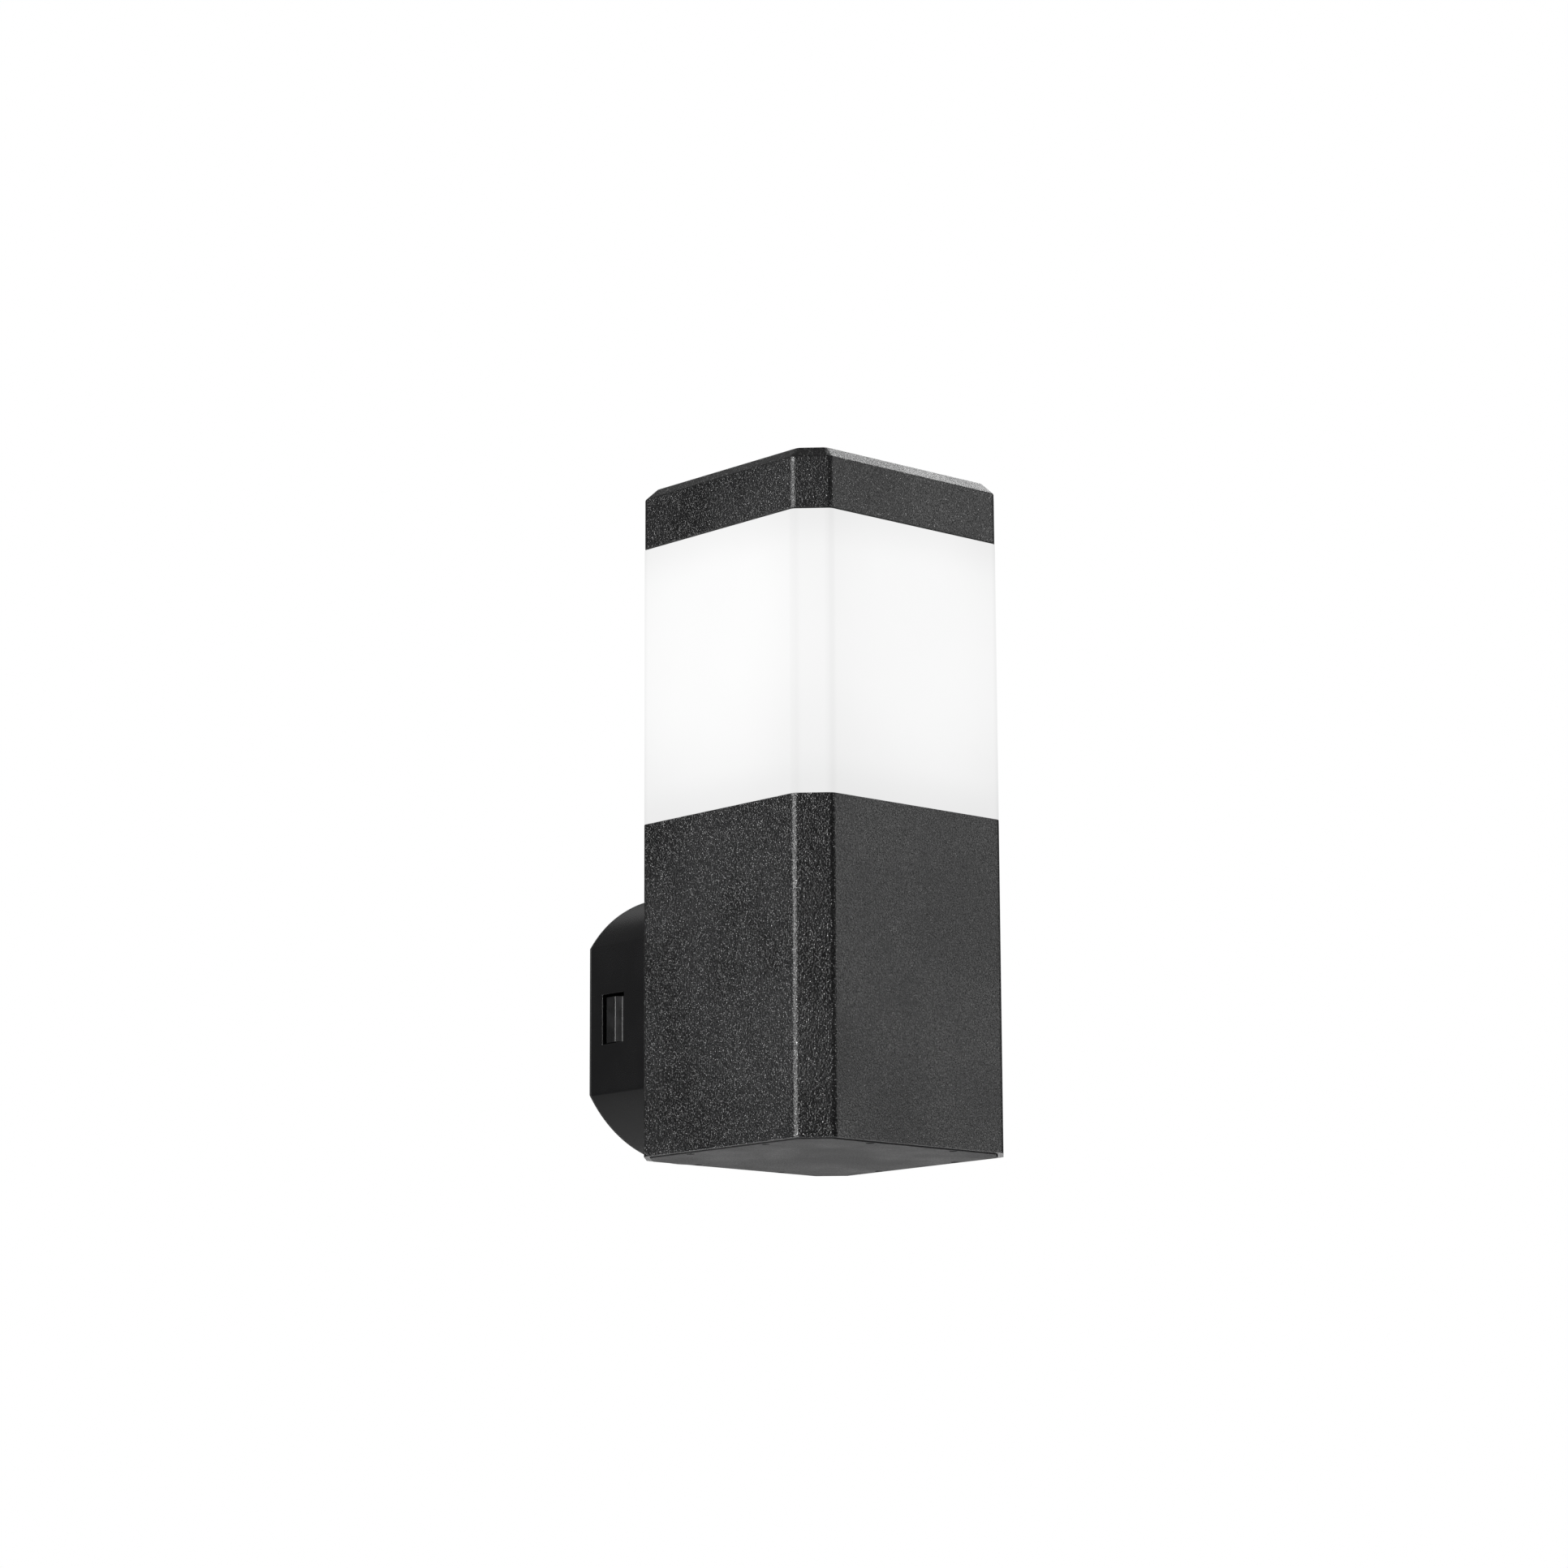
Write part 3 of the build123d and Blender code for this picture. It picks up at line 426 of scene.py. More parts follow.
def makeOpal(name, settings):
    material, tree, shader = newMaterial(name)
    place = objectPlace(tree)
    away = put(tree, "ShaderNodeVectorMath", {0: place, 1: tuple(lampCentre)}, operation="DISTANCE")
    glow = ramp(tree, away.outputs["Value"], settings["nearDistance"], settings["farDistance"],
                settings["near"], settings["far"], True)
    parts = put(tree, "ShaderNodeSeparateXYZ", {"Vector": place})
    fromLow = maths(tree, "SUBTRACT", parts.outputs["Z"], columnHigh.z)
    fromTop = maths(tree, "SUBTRACT", shadeHigh.z, parts.outputs["Z"])
    nearEnd = maths(tree, "MINIMUM", fromLow, fromTop)
    ends = ramp(tree, nearEnd, 0.0, settings["endDepth"], settings["endLevel"], 1.0, True)
    across = maths(tree, "ABSOLUTE", maths(tree, "SUBTRACT", parts.outputs["X"], axisX))
    along = maths(tree, "ABSOLUTE", maths(tree, "SUBTRACT", parts.outputs["Y"], axisY))
    fromCrease = maths(tree, "ABSOLUTE", maths(tree, "SUBTRACT", maths(tree, "MINIMUM", across, along), settings["creaseAt"]))
    crease = ramp(tree, fromCrease, 0.0, settings["creaseWidth"], settings["creaseLevel"], 1.0, True)
    cloud = put(tree, "ShaderNodeTexNoise", {"Vector": place, "Scale": 18.0, "Detail": 3.0})
    drift = ramp(tree, cloud.outputs["Fac"], 0.3, 0.7, 0.99, 1.01)
    level = maths(tree, "MULTIPLY", maths(tree, "MULTIPLY", glow, drift), maths(tree, "MULTIPLY", ends, crease))
    white = put(tree, "ShaderNodeCombineColor", {"Red": level, "Green": level, "Blue": level}).outputs[0]
    tree.links.new(white, shader.inputs["Emission Color"])
    tone = useGroup(tree, "tone", {
        "Vector": place, "Light": opaque(settings["base"]), "Dark": opaque([c * 0.96 for c in settings["base"]]),
        "PatchScale": 14.0, "GrainScale": 400.0})
    tree.links.new(tone["Color"], shader.inputs["Base Color"])
    tree.links.new(ramp(tree, tone["Grain"], 0.0, 1.0, 0.5, 0.6), shader.inputs["Roughness"])
    height = useGroup(tree, "pebble", {"Vector": place, "Scale": 700.0})["Height"]
    bump = put(tree, "ShaderNodeBump", {"Height": height, "Strength": 0.12, "Distance": 0.00003})
    tree.links.new(bump.outputs[0], shader.inputs["Normal"])
    shader.inputs["Emission Strength"].default_value = settings["strength"]
    shader.inputs["Specular IOR Level"].default_value = 0.06
    return material


def makeFrosted(name):
    material, tree, shader = newMaterial(name)
    place = objectPlace(tree)
    tone = useGroup(tree, "tone", {
        "Vector": place, "Light": (0.62, 0.61, 0.59, 1), "Dark": (0.56, 0.55, 0.53, 1),
        "PatchScale": 40.0, "GrainScale": 1500.0})
    tree.links.new(tone["Color"], shader.inputs["Base Color"])
    parts = put(tree, "ShaderNodeSeparateXYZ", {"Vector": place})
    level = ramp(tree, parts.outputs["Z"], lampCentre[2] - 0.02, lampCentre[2] + 0.02, 0.72, 1.0, True)
    grey = put(tree, "ShaderNodeCombineColor", {"Red": level, "Green": level, "Blue": level}).outputs[0]
    tree.links.new(mixColour(tree, 1.0, tone["Color"], grey, "MULTIPLY"), shader.inputs["Emission Color"])
    tree.links.new(ramp(tree, tone["Grain"], 0.0, 1.0, 0.4, 0.5), shader.inputs["Roughness"])
    height = useGroup(tree, "pebble", {"Vector": place, "Scale": 2600.0})["Height"]
    bump = put(tree, "ShaderNodeBump", {"Height": height, "Strength": 0.3, "Distance": 0.00003})
    tree.links.new(bump.outputs[0], shader.inputs["Normal"])
    shader.inputs["Emission Strength"].default_value = 1.1
    return material


def makeEarthSleeve(name):
    # green with two yellow stripes, which run along the wire by its side
    material, tree, shader = newMaterial(name)
    place = objectPlace(tree)
    parts = put(tree, "ShaderNodeSeparateXYZ", {"Vector": place})
    stripe = maths(tree, "GREATER_THAN", maths(tree, "ABSOLUTE", parts.outputs["X"]), 0.00045)
    noise = put(tree, "ShaderNodeTexNoise", {"Vector": place, "Scale": 900.0, "Detail": 2.0})
    green = mixColour(tree, noise.outputs["Fac"], (0.02, 0.2, 0.035, 1), (0.035, 0.27, 0.05, 1))
    yellow = mixColour(tree, noise.outputs["Fac"], (0.66, 0.56, 0.02, 1), (0.8, 0.68, 0.04, 1))
    tree.links.new(mixColour(tree, stripe, green, yellow), shader.inputs["Base Color"])
    tree.links.new(ramp(tree, noise.outputs["Fac"], 0.0, 1.0, 0.32, 0.5), shader.inputs["Roughness"])
    height = useGroup(tree, "pebble", {"Vector": place, "Scale": 1400.0})["Height"]
    bump = put(tree, "ShaderNodeBump", {"Height": height, "Strength": 0.3, "Distance": 0.00004})
    tree.links.new(bump.outputs[0], shader.inputs["Normal"])
    return material


materials = {name: makeFinish(name, spec) for name, spec in finishes.items()}
materials["opal"] = makeOpal("opal", opalLight)
materials["frosted"] = makeFrosted("frosted")
materials["earthSleeve"] = makeEarthSleeve("earthSleeve")
print("materials made:", len(materials))

# which finish each carried-over node takes
nodeFinish = {
    "powderCoat": ["column_body", "top_cap"],
    "blackPlastic": ["wall_base", "wall_plate"],
    "latchPlastic": ["latch_left", "latch_right"],
    "coverPlastic": ["bottom_cover"],
    "opal": ["diffuser"],
    "whitePaint": ["deck_plate"],
    "zincSteel": [
        "deck_screws", "cap_screws", "holder_bracket", "bracket_screws", "bracket_nuts", "holder_screws",
        "base_screws", "nut_strips", "terminal_screws", "block_screws", "earth_screw", "clip_rivets"],
    "springSteel": ["spring_clips"],
    "blackRubber": ["skirt_seal", "cap_gasket", "base_gasket", "wall_seal", "cable_grommet", "wire_grommet"],
    "porcelain": ["holder_body"],
    "nickel": ["holder_shell", "lamp_cap", "lamp_tip"],
    "brass": ["centre_contact", "terminal_tubes", "earth_tag"],
    "blackGlass": ["lamp_insulator"],
    "whitePlastic": ["lamp_housing"],
    "ledBoard": ["led_board"],
    "frosted": ["lamp_globe"],
    "blockPlastic": ["terminal_block"],
    "brownSleeve": ["live_wire"],
    "blueSleeve": ["neutral_wire"],
    "earthSleeve": ["earth_wire"],
}
for finish, names in nodeFinish.items():
    for name in names:
        node = nodes[name]
        if not node.material_slots:
            node.data.materials.append(None)
        for slot in node.material_slots:
            slot.material = materials[finish]
print("nodes finished:", sum(len(names) for names in nodeFinish.values()))


# ---- modelling helpers ----
def clearSelection():
    if bpy.context.object and bpy.context.object.mode != "OBJECT":
        bpy.ops.object.mode_set(mode="OBJECT")
    bpy.ops.object.select_all(action="DESELECT")


def only(piece):
    clearSelection()
    piece.select_set(True)
    bpy.context.view_layer.objects.active = piece


def named(name):
    piece = bpy.context.object
    piece.name = piece.data.name = name
    bpy.ops.object.transform_apply(location=True, rotation=True, scale=True)
    return piece


def startBlock(name, low, high):
    clearSelection()
    low, high = Vector(low), Vector(high)
    bpy.ops.mesh.primitive_cube_add(size=1, location=(low + high) / 2, scale=high - low)
    return named(name)


def startRod(name, start, end, radius, sides=48, endRadius=None):
    # a rod or cone from start to end
    clearSelection()
    start, end = Vector(start), Vector(end)
    turn = (end - start).to_track_quat("Z", "Y").to_euler()
    radii = {"radius1": radius, "radius2": radius if endRadius is None else endRadius}
    bpy.ops.mesh.primitive_cone_add(
        vertices=sides, depth=(end - start).length, location=(start + end) / 2, rotation=turn, **radii)
    return named(name)


def chooseEdges(piece, test):
    only(piece)
    bpy.ops.object.mode_set(mode="EDIT")
    bpy.ops.mesh.select_mode(type="EDGE")
    bpy.ops.mesh.select_all(action="DESELECT")
    mesh = bmesh.from_edit_mesh(piece.data)
    count = 0
    for edge in mesh.edges:
        if test(edge.verts[0].co, edge.verts[1].co):
            edge.select_set(True)
            count += 1
    bmesh.update_edit_mesh(piece.data)
    return count


def chooseFaces(piece, test):
    only(piece)
    bpy.ops.object.mode_set(mode="EDIT")
    bpy.ops.mesh.select_mode(type="FACE")
    bpy.ops.mesh.select_all(action="DESELECT")
    mesh = bmesh.from_edit_mesh(piece.data)
    for face in mesh.faces:
        if test(face.calc_center_median(), face.normal):
            face.select_set(True)
    bmesh.update_edit_mesh(piece.data)


def bevelEdges(piece, test, width, segments=1):
    count = chooseEdges(piece, test)
    bpy.ops.mesh.bevel(offset=width, offset_type="OFFSET", segments=segments, affect="EDGES", profile=0.5)
    bpy.ops.object.mode_set(mode="OBJECT")
    return count


def combine(piece, tools, operation="DIFFERENCE"):
    for tool in tools:
        only(piece)
        modifier = piece.modifiers.new("combine", "BOOLEAN")
        modifier.operation = operation
        modifier.solver = "EXACT"
        modifier.object = tool
        bpy.ops.object.modifier_apply(modifier=modifier.name)
        bpy.data.objects.remove(tool)
    return piece


def soften(piece, width, segments=2, limit=32):
    # small rounded edges, then normals that keep the flats flat
    only(piece)
    bpy.ops.object.mode_set(mode="EDIT")
    bpy.ops.mesh.select_all(action="SELECT")
    bpy.ops.mesh.remove_doubles(threshold=0.000002)
    bpy.ops.mesh.dissolve_limited(angle_limit=math.radians(0.5))
    bpy.ops.object.mode_set(mode="OBJECT")
    modifier = piece.modifiers.new("edges", "BEVEL")
    modifier.width = width
    modifier.segments = segments
    modifier.limit_method = "ANGLE"
    modifier.angle_limit = math.radians(limit)
    modifier.use_clamp_overlap = True
    bpy.ops.object.modifier_apply(modifier=modifier.name)
    bpy.ops.object.shade_smooth_by_angle(angle=math.radians(50))
    modifier = piece.modifiers.new("normals", "WEIGHTED_NORMAL")
    modifier.keep_sharp = True
    bpy.ops.object.modifier_apply(modifier=modifier.name)
    return piece


def hand(piece, body, finish, slot, *replaced):
    piece.data.materials.clear()
    piece.data.materials.append(materials[finish])
    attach(piece, body)
    if replaced:
        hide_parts(*replaced)
    print("piece made:", piece.name, len(piece.data.polygons), "faces")
    return piece


# ---- column ----
columnShape = {
    "chamfer": 9.7 * mm,
    "round": 3.0 * mm,
    "wall": 2.0 * mm,
    "rim": 0.3 * mm,
    "portRadius": 4.2 * mm,
    "portSetback": 9.85 * mm,
    "portBore": 2.05 * mm,
    "webThickness": 3.0 * mm,
    "portCutback": 12.0 * mm,
    "backScrewX": 20.0 * mm,
    "backScrewZ": 25.0 * mm,
    "backScrewRadius": 2.2 * mm,
    "grommetRadius": 7.05 * mm,
}
chamferReach = (2 * halfWidth - columnShape["chamfer"]) / math.sqrt(2)
softCorner = math.tan(math.radians(22.5))
signs = [(-1, -1), (1, -1), (1, 1), (-1, 1)]


def chamferedBlock(name, inset, low, high, rounded=0.0):
    half = halfWidth - inset
    leg = columnShape["chamfer"] - (2 - math.sqrt(2)) * inset
    piece = startBlock(name, (axisX - half, axisY - half, low), (axisX + half, axisY + half, high))
    upright = lambda a, b: abs(a.z - b.z) > (high - low) * 0.9
    bevelEdges(piece, upright, leg)
    if rounded:
        bevelEdges(piece, upright, rounded * softCorner, 6)
    return piece


def chamferedRing(name, outer, inner, low, high, rounded=0.0):
    slack = 1 * mm
    ring = chamferedBlock(name, outer, low, high, rounded)
    return combine(ring, [chamferedBlock("hollow", inner, low - slack, high + slack)])


def uprightRod(name, x, y, radius, low, high, sides=32):
    return startRod(name, (axisX + x, axisY + y, low), (axisX + x, axisY + y, high), radius, sides)


def makeColumn(shape):
    low, high = columnLow.z, columnHigh.z
    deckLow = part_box("deck_plate")[0].z
    column = chamferedRing("column", 0, shape["wall"], low, high, shape["round"])
    offset = (chamferReach - shape["portSetback"]) / math.sqrt(2)
    portLow = low + shape["portCutback"]
    for sx, sy in signs:
        web = startBlock("web", (-4 * mm, -shape["webThickness"] / 2, portLow), (4 * mm, shape["webThickness"] / 2, deckLow))
        middle = (offset * math.sqrt(2) + chamferReach - shape["wall"] / 2) / 2
        turn = Matrix.Rotation(math.atan2(sy, sx), 4, "Z")
        web.data.transform(Matrix.Translation((axisX, axisY, 0)) @ turn @ Matrix.Translation((middle, 0, 0)))
        port = uprightRod("port", sx * offset, sy * offset, shape["portRadius"], portLow, deckLow)
        bore = uprightRod("bore", sx * offset, sy * offset, shape["portBore"], portLow - mm, deckLow + mm, 24)
        combine(column, [web, port], "UNION")
        combine(column, [bore])
    backY = columnHigh.y
    holes = [(sx * shape["backScrewX"], sz * shape["backScrewZ"], shape["backScrewRadius"]) for sx, sz in signs]
    holes += [(0, -shape["backScrewZ"], shape["backScrewRadius"]), (0, 0, shape["grommetRadius"])]
    for x, z, radius in holes:
        combine(column, [startRod("hole", (x, backY - 4 * mm, z), (x, backY + mm, z), radius, 36)])
    soften(column, shape["rim"], 3)
    return hand(column, "lantern", "powderCoat", "powder_coat", "column_body")


makeColumn(columnShape)

# ---- cap ----
capShape = {
    "inset": 0.2 * mm,
    "wall": 2.5 * mm,
    "bevel": 4.3 * mm,
    "edge": 0.9 * mm,
    "round": 2.8 * mm,
    "postRadius": 4.5 * mm,
    "postSetback": 10.1 * mm,
    "postBore": 2.05 * mm,
    "postBoreDepth": 11.0 * mm,
}


def makeCap(shape):
    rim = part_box("cap_gasket")[1].z
    postLow = capLow.z
    high = capHigh.z
    onTop = lambda a, b: min(a.z, b.z) > high - mm
    cap = chamferedBlock("cap", shape["inset"], rim, high)
    bevelEdges(cap, onTop, shape["bevel"])
    bevelEdges(cap, lambda a, b: abs(a.z - b.z) > mm, shape["round"] * softCorner, 6)
    inner = chamferedBlock("hollow", shape["inset"] + shape["wall"], rim - mm, high - shape["wall"])
    roof = high - shape["wall"]
    bevelEdges(inner, lambda a, b: min(a.z, b.z) > roof - mm, shape["bevel"] - shape["wall"])
    combine(cap, [inner])
    offset = (chamferReach - shape["postSetback"]) / math.sqrt(2)
    for sx, sy in signs:
        post = uprightRod("post", sx * offset, sy * offset, shape["postRadius"], postLow, roof + 0.5 * mm)
        bore = uprightRod("bore", sx * offset, sy * offset, shape["postBore"], postLow - mm, postLow + shape["postBoreDepth"], 24)
        combine(cap, [post], "UNION")
        combine(cap, [bore])
    soften(cap, shape["edge"], 4, 20)
    return hand(cap, "shade", "powderCoat", "powder_coat", "top_cap")


makeCap(capShape)

# ---- shade ----
shadeShape = {
    "wall": 2.5 * mm,
    "skirtInset": 2.3 * mm,
    "skirtWall": 2.5 * mm,
    "shoulder": 3.0 * mm,
    "flange": 3.0 * mm,
    "flangeHole": 34.0 * mm,
    "postHole": 2.2 * mm,
    "edge": 0.3 * mm,
}


def makeShade(shape):
    low, top = columnHigh.z + 0.2 * mm, shadeHigh.z
    shade = chamferedBlock("shade", 0, low, top, columnShape["round"])
    skirt = chamferedBlock("skirt", shape["skirtInset"], shadeLow.z, low + mm)
    combine(shade, [skirt], "UNION")
    inner = shape["skirtInset"] + shape["skirtWall"]
    mouth = chamferedBlock("mouth", inner, shadeLow.z - mm, low + shape["shoulder"] + mm)
    room = chamferedBlock("room", shape["wall"], low + shape["shoulder"], top - shape["flange"])
    hole = uprightRod("hole", 0, 0, shape["flangeHole"], top - 2 * shape["flange"], top + mm, 96)
    combine(shade, [mouth, room, hole])
    offset = (chamferReach - capShape["postSetback"]) / math.sqrt(2)
    for sx, sy in signs:
        combine(shade, [uprightRod("hole", sx * offset, sy * offset, shape["postHole"], top - 2 * shape["flange"], top + mm, 24)])
    soften(shade, shape["edge"], 3)
    return hand(shade, "shade", "opal", "opal", "diffuser")


makeShade(shadeShape)

# ---- wall base ----
baseShape = {
    "wall": 2.5 * mm,
    "front": 3.0 * mm,
    "edge": 1.5 * mm,
    "rim": 0.35 * mm,
    "windowDepth": 7.7 * mm,
    "windowWidth": 11.9 * mm,
    "windowHeight": 18.2 * mm,
    "grooveInset": 3.5 * mm,
    "grooveWidth": 2.5 * mm,
    "grooveDepth": 1.0 * mm,
    "screwX": 20.0 * mm,
    "screwZ": 25.0 * mm,
    "screwRadius": 2.2 * mm,
    "grommetRadius": 7.05 * mm,
    "earthCut": (14.0 * mm, 22.0 * mm, -20.0 * mm),
}


def flattedRod(name, inset, near, far, rounded=0.0):
    # a disc with two upright flats; near and far are distances from the wall plane
    radius = (baseHigh.z - baseLow.z) / 2 - inset
    half = baseHigh.x - inset
    piece = startRod(name, (0, -near, 0), (0, -far, 0), radius, 192)
    for side in (-1, 1):
        chooseFaces(piece, lambda centre, normal: True)
        bpy.ops.mesh.bisect(
            plane_co=(side * half, 0, 0), plane_no=(side, 0, 0), use_fill=True, clear_outer=True)
        bpy.ops.object.mode_set(mode="OBJECT")
    if rounded:
        long = lambda a, b: abs(a.y - b.y) > (far - near) * 0.9 and min(abs(a.x), abs(b.x)) > half - 1e-5
        bevelEdges(piece, long, rounded, 5)
    return piece


def makeBase(shape):
    near, far = -baseHigh.y, -baseLow.y
    base = flattedRod("base", 0, near, far, shape["edge"])
    combine(base, [flattedRod("hollow", shape["wall"], near - mm, far - shape["front"])])
    reach = baseHigh.x
    for side in (-1, 1):
        inside, outside = sorted((side * (reach - 6 * mm), side * (reach + mm)))
        depths = (-shape["windowDepth"] - shape["windowWidth"], -shape["windowDepth"])
        half = shape["windowHeight"] / 2
        combine(base, [startBlock("window", (inside, depths[0], -half), (outside, depths[1], half))])
    groove = flattedRod("groove", shape["grooveInset"], far - shape["grooveDepth"], far + mm)
    combine(groove, [flattedRod("core", shape["grooveInset"] + shape["grooveWidth"], far - 2 * mm, far + 2 * mm)])
    combine(base, [groove])
    wide, tall, middle = shape["earthCut"]
    combine(base, [startBlock("cut", (-wide / 2, -far - mm, middle - tall / 2), (wide / 2, -far + 5 * mm, middle + tall / 2))])
    holes = [(sx * shape["screwX"], sz * shape["screwZ"], shape["screwRadius"]) for sx, sz in signs]
    for x, z, radius in holes + [(0, 0, shape["grommetRadius"])]:
        combine(base, [startRod("hole", (x, -far - mm, z), (x, -far + 5 * mm, z), radius, 36)])
    soften(base, shape["rim"], 3)
    return hand(base, "lantern", "blackPlastic", "black_plastic", "wall_base")


makeBase(baseShape)

# ---- latches ----
latchShape = {
    "armThickness": 1.8 * mm,
    "crest": 4.95 * mm,
    "catch": 8.7 * mm,
    "ramp": 3.8 * mm,
    "edge": 0.22 * mm,
}


def makeLatch(shape, side):
    name = "latch_left" if side < 0 else "latch_right"
    low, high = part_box(name)
    inner = min(abs(low.x), abs(high.x))
    crest = max(abs(low.x), abs(high.x))
    outer = inner + shape["armThickness"]

    def between(a, b, near, far):
        xs = sorted((side * a, side * b))
        return (xs[0], -far, low.z), (xs[1], -near, high.z)

    rampEnd = shape["catch"] + shape["crest"] + shape["ramp"]
    head = startBlock(name + "_head", *between(inner, crest, shape["catch"], rampEnd))
    # the far outer edge is drawn back to make the lead-in ramp
    chooseEdges(head, lambda a, b: min(abs(a.x), abs(b.x)) > crest - 1e-5 and max(a.y, b.y) < -rampEnd + 1e-5)
    bpy.ops.transform.translate(value=(0, shape["ramp"], 0))
    bpy.ops.object.mode_set(mode="OBJECT")
    arm = startBlock("arm", *between(inner, outer, -high.y, -low.y))
    end = lambda a, b: max(a.y, b.y) < low.y + 1e-5 and abs(a.z - b.z) > mm
    bevelEdges(arm, end, shape["armThickness"] * 0.48, 6)
    combine(head, [arm], "UNION")
    soften(head, shape["edge"], 2)
    head.name = head.data.name = name + "_piece"
    return hand(head, name, "latchPlastic", "black_plastic", name)


for side in (-1, 1):
    makeLatch(latchShape, side)

# ---- bottom cover ----
coverShape = {
    "inset": 2.45 * mm,
    "thickness": 2.5 * mm,
    "ribInset": 7.0 * mm,
    "ribWall": 1.5 * mm,
    "ribHeight": 6.0 * mm,
    "holeRadius": 1.5 * mm,
    "holePitch": 40.0 * mm,
    "holeSetback": 4.5 * mm,
    "tabWidth": 6.0 * mm,
    "edge": 0.25 * mm,
}


def makeCover(shape):
    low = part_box("bottom_cover")[0].z
    top = low + shape["thickness"]
    cover = chamferedBlock("cover", shape["inset"], low, top)
    rib = chamferedRing("rib", shape["ribInset"], shape["ribInset"] + shape["ribWall"], top - 0.2 * mm, top + shape["ribHeight"])
    combine(cover, [rib], "UNION")
    tabHigh = top + shape["ribHeight"]
    face = halfWidth - columnShape["wall"] - 0.05 * mm
    root = halfWidth - shape["ribInset"] - 0.7 * mm
    for quarter in range(4):
        turn = Matrix.Translation((axisX, axisY, 0)) @ Matrix.Rotation(quarter * math.pi / 2, 4, "Z")
        for side in (-1, 1):
            middle = side * shape["holePitch"] / 2
            half = shape["tabWidth"] / 2
            tab = startBlock("tab", (root, middle - half, tabHigh - 5 * mm), (face, middle + half, tabHigh))
            # the tab tapers to a short nose
            chooseEdges(tab, lambda a, b: min(a.x, b.x) > face - 1e-5 and min(a.z, b.z) > tabHigh - 1e-5)
            bpy.ops.transform.translate(value=(0, 0, -1.25 * mm))
            chooseEdges(tab, lambda a, b: min(a.x, b.x) > face - 1e-5 and max(a.z, b.z) < tabHigh - 5 * mm + 1e-5)
            bpy.ops.transform.translate(value=(0, 0, 2.5 * mm))
            bpy.ops.object.mode_set(mode="OBJECT")
            tab.data.transform(turn)
            hole = startRod("hole", (halfWidth - shape["holeSetback"], middle, low - mm), (halfWidth - shape["holeSetback"], middle, top + mm), shape["holeRadius"], 24)
            hole.data.transform(turn)
            combine(cover, [tab], "UNION")
            combine(cover, [hole])
    soften(cover, shape["edge"], 2)
    return hand(cover, "lantern", "coverPlastic", "cover_plastic", "bottom_cover")


makeCover(coverShape)

# ---- lamp: threaded cap, housing and globe ----
lampShape = {
    "sides": 72,
    "pitch": 3.63 * mm,
    "threadMiddle": 12.7 * mm,
    "threadHeight": 0.4 * mm,
    "threadStep": 0.3 * mm,
    "capWall": 0.5 * mm,
    "collar": 2.4 * mm,
    "housingWall": 1.5 * mm,
    "housingSteps": 14,
    "globeWall": 1.0 * mm,
    "globeRings": 40,
}
holderShape = {
    "threadMiddle": 13.3 * mm,
    "threadHeight": 0.33 * mm,
    "wall": 0.3 * mm,
}


def ringTower(name, rings, sides):
    # a tube drawn up through rings of radius and height, open at both ends
    clearSelection()
    radius, z = rings[0]
    bpy.ops.mesh.primitive_circle_add(vertices=sides, radius=radius, location=(axisX, axisY, z))
    tower = named(name)
    bpy.ops.object.mode_set(mode="EDIT")
    bpy.ops.mesh.select_mode(type="VERT")
    bpy.ops.mesh.select_all(action="SELECT")
    for nextRadius, nextZ in rings[1:]:
        bpy.ops.mesh.extrude_region_move(TRANSFORM_OT_translate={"value": (0, 0, nextZ - z)})
        if abs(nextRadius - radius) > 1e-9:
            grow = nextRadius / radius
            bpy.ops.transform.resize(value=(grow, grow, 1), center_override=(axisX, axisY, nextZ))
        radius, z = nextRadius, nextZ
    bpy.ops.mesh.select_all(action="SELECT")
    bpy.ops.mesh.normals_make_consistent(inside=False)
    bpy.ops.object.mode_set(mode="OBJECT")
    return tower


def cutThread(tower, low, high, height, pitch):
    # a right-hand thread, which fades out at both ends
    for vertex in tower.data.vertices:
        x, y, z = vertex.co.x - axisX, vertex.co.y - axisY, vertex.co.z
        if low < z < high:
            fade = min(1.0, (z - low) / pitch * 2, (high - z) / pitch * 2)
            wave = height * fade * math.cos(2 * math.pi * z / pitch - math.atan2(y, x))
            radius = math.hypot(x, y)
            vertex.co.x = axisX + x * (radius + wave) / radius
            vertex.co.y = axisY + y * (radius + wave) / radius
    tower.data.update()


def thicken(piece, wall):
    only(piece)
    modifier = piece.modifiers.new("wall", "SOLIDIFY")
    modifier.thickness = wall
    modifier.offset = -1
    modifier.use_even_offset = True
    bpy.ops.object.modifier_apply(modifier=modifier.name)
    bpy.ops.object.shade_smooth_by_angle(angle=math.radians(40))
    return piece


def threadRings(middle, low, high, step):
    count = max(2, round((high - low) / step))
    return [(middle, low + (high - low) * i / count) for i in range(count + 1)]


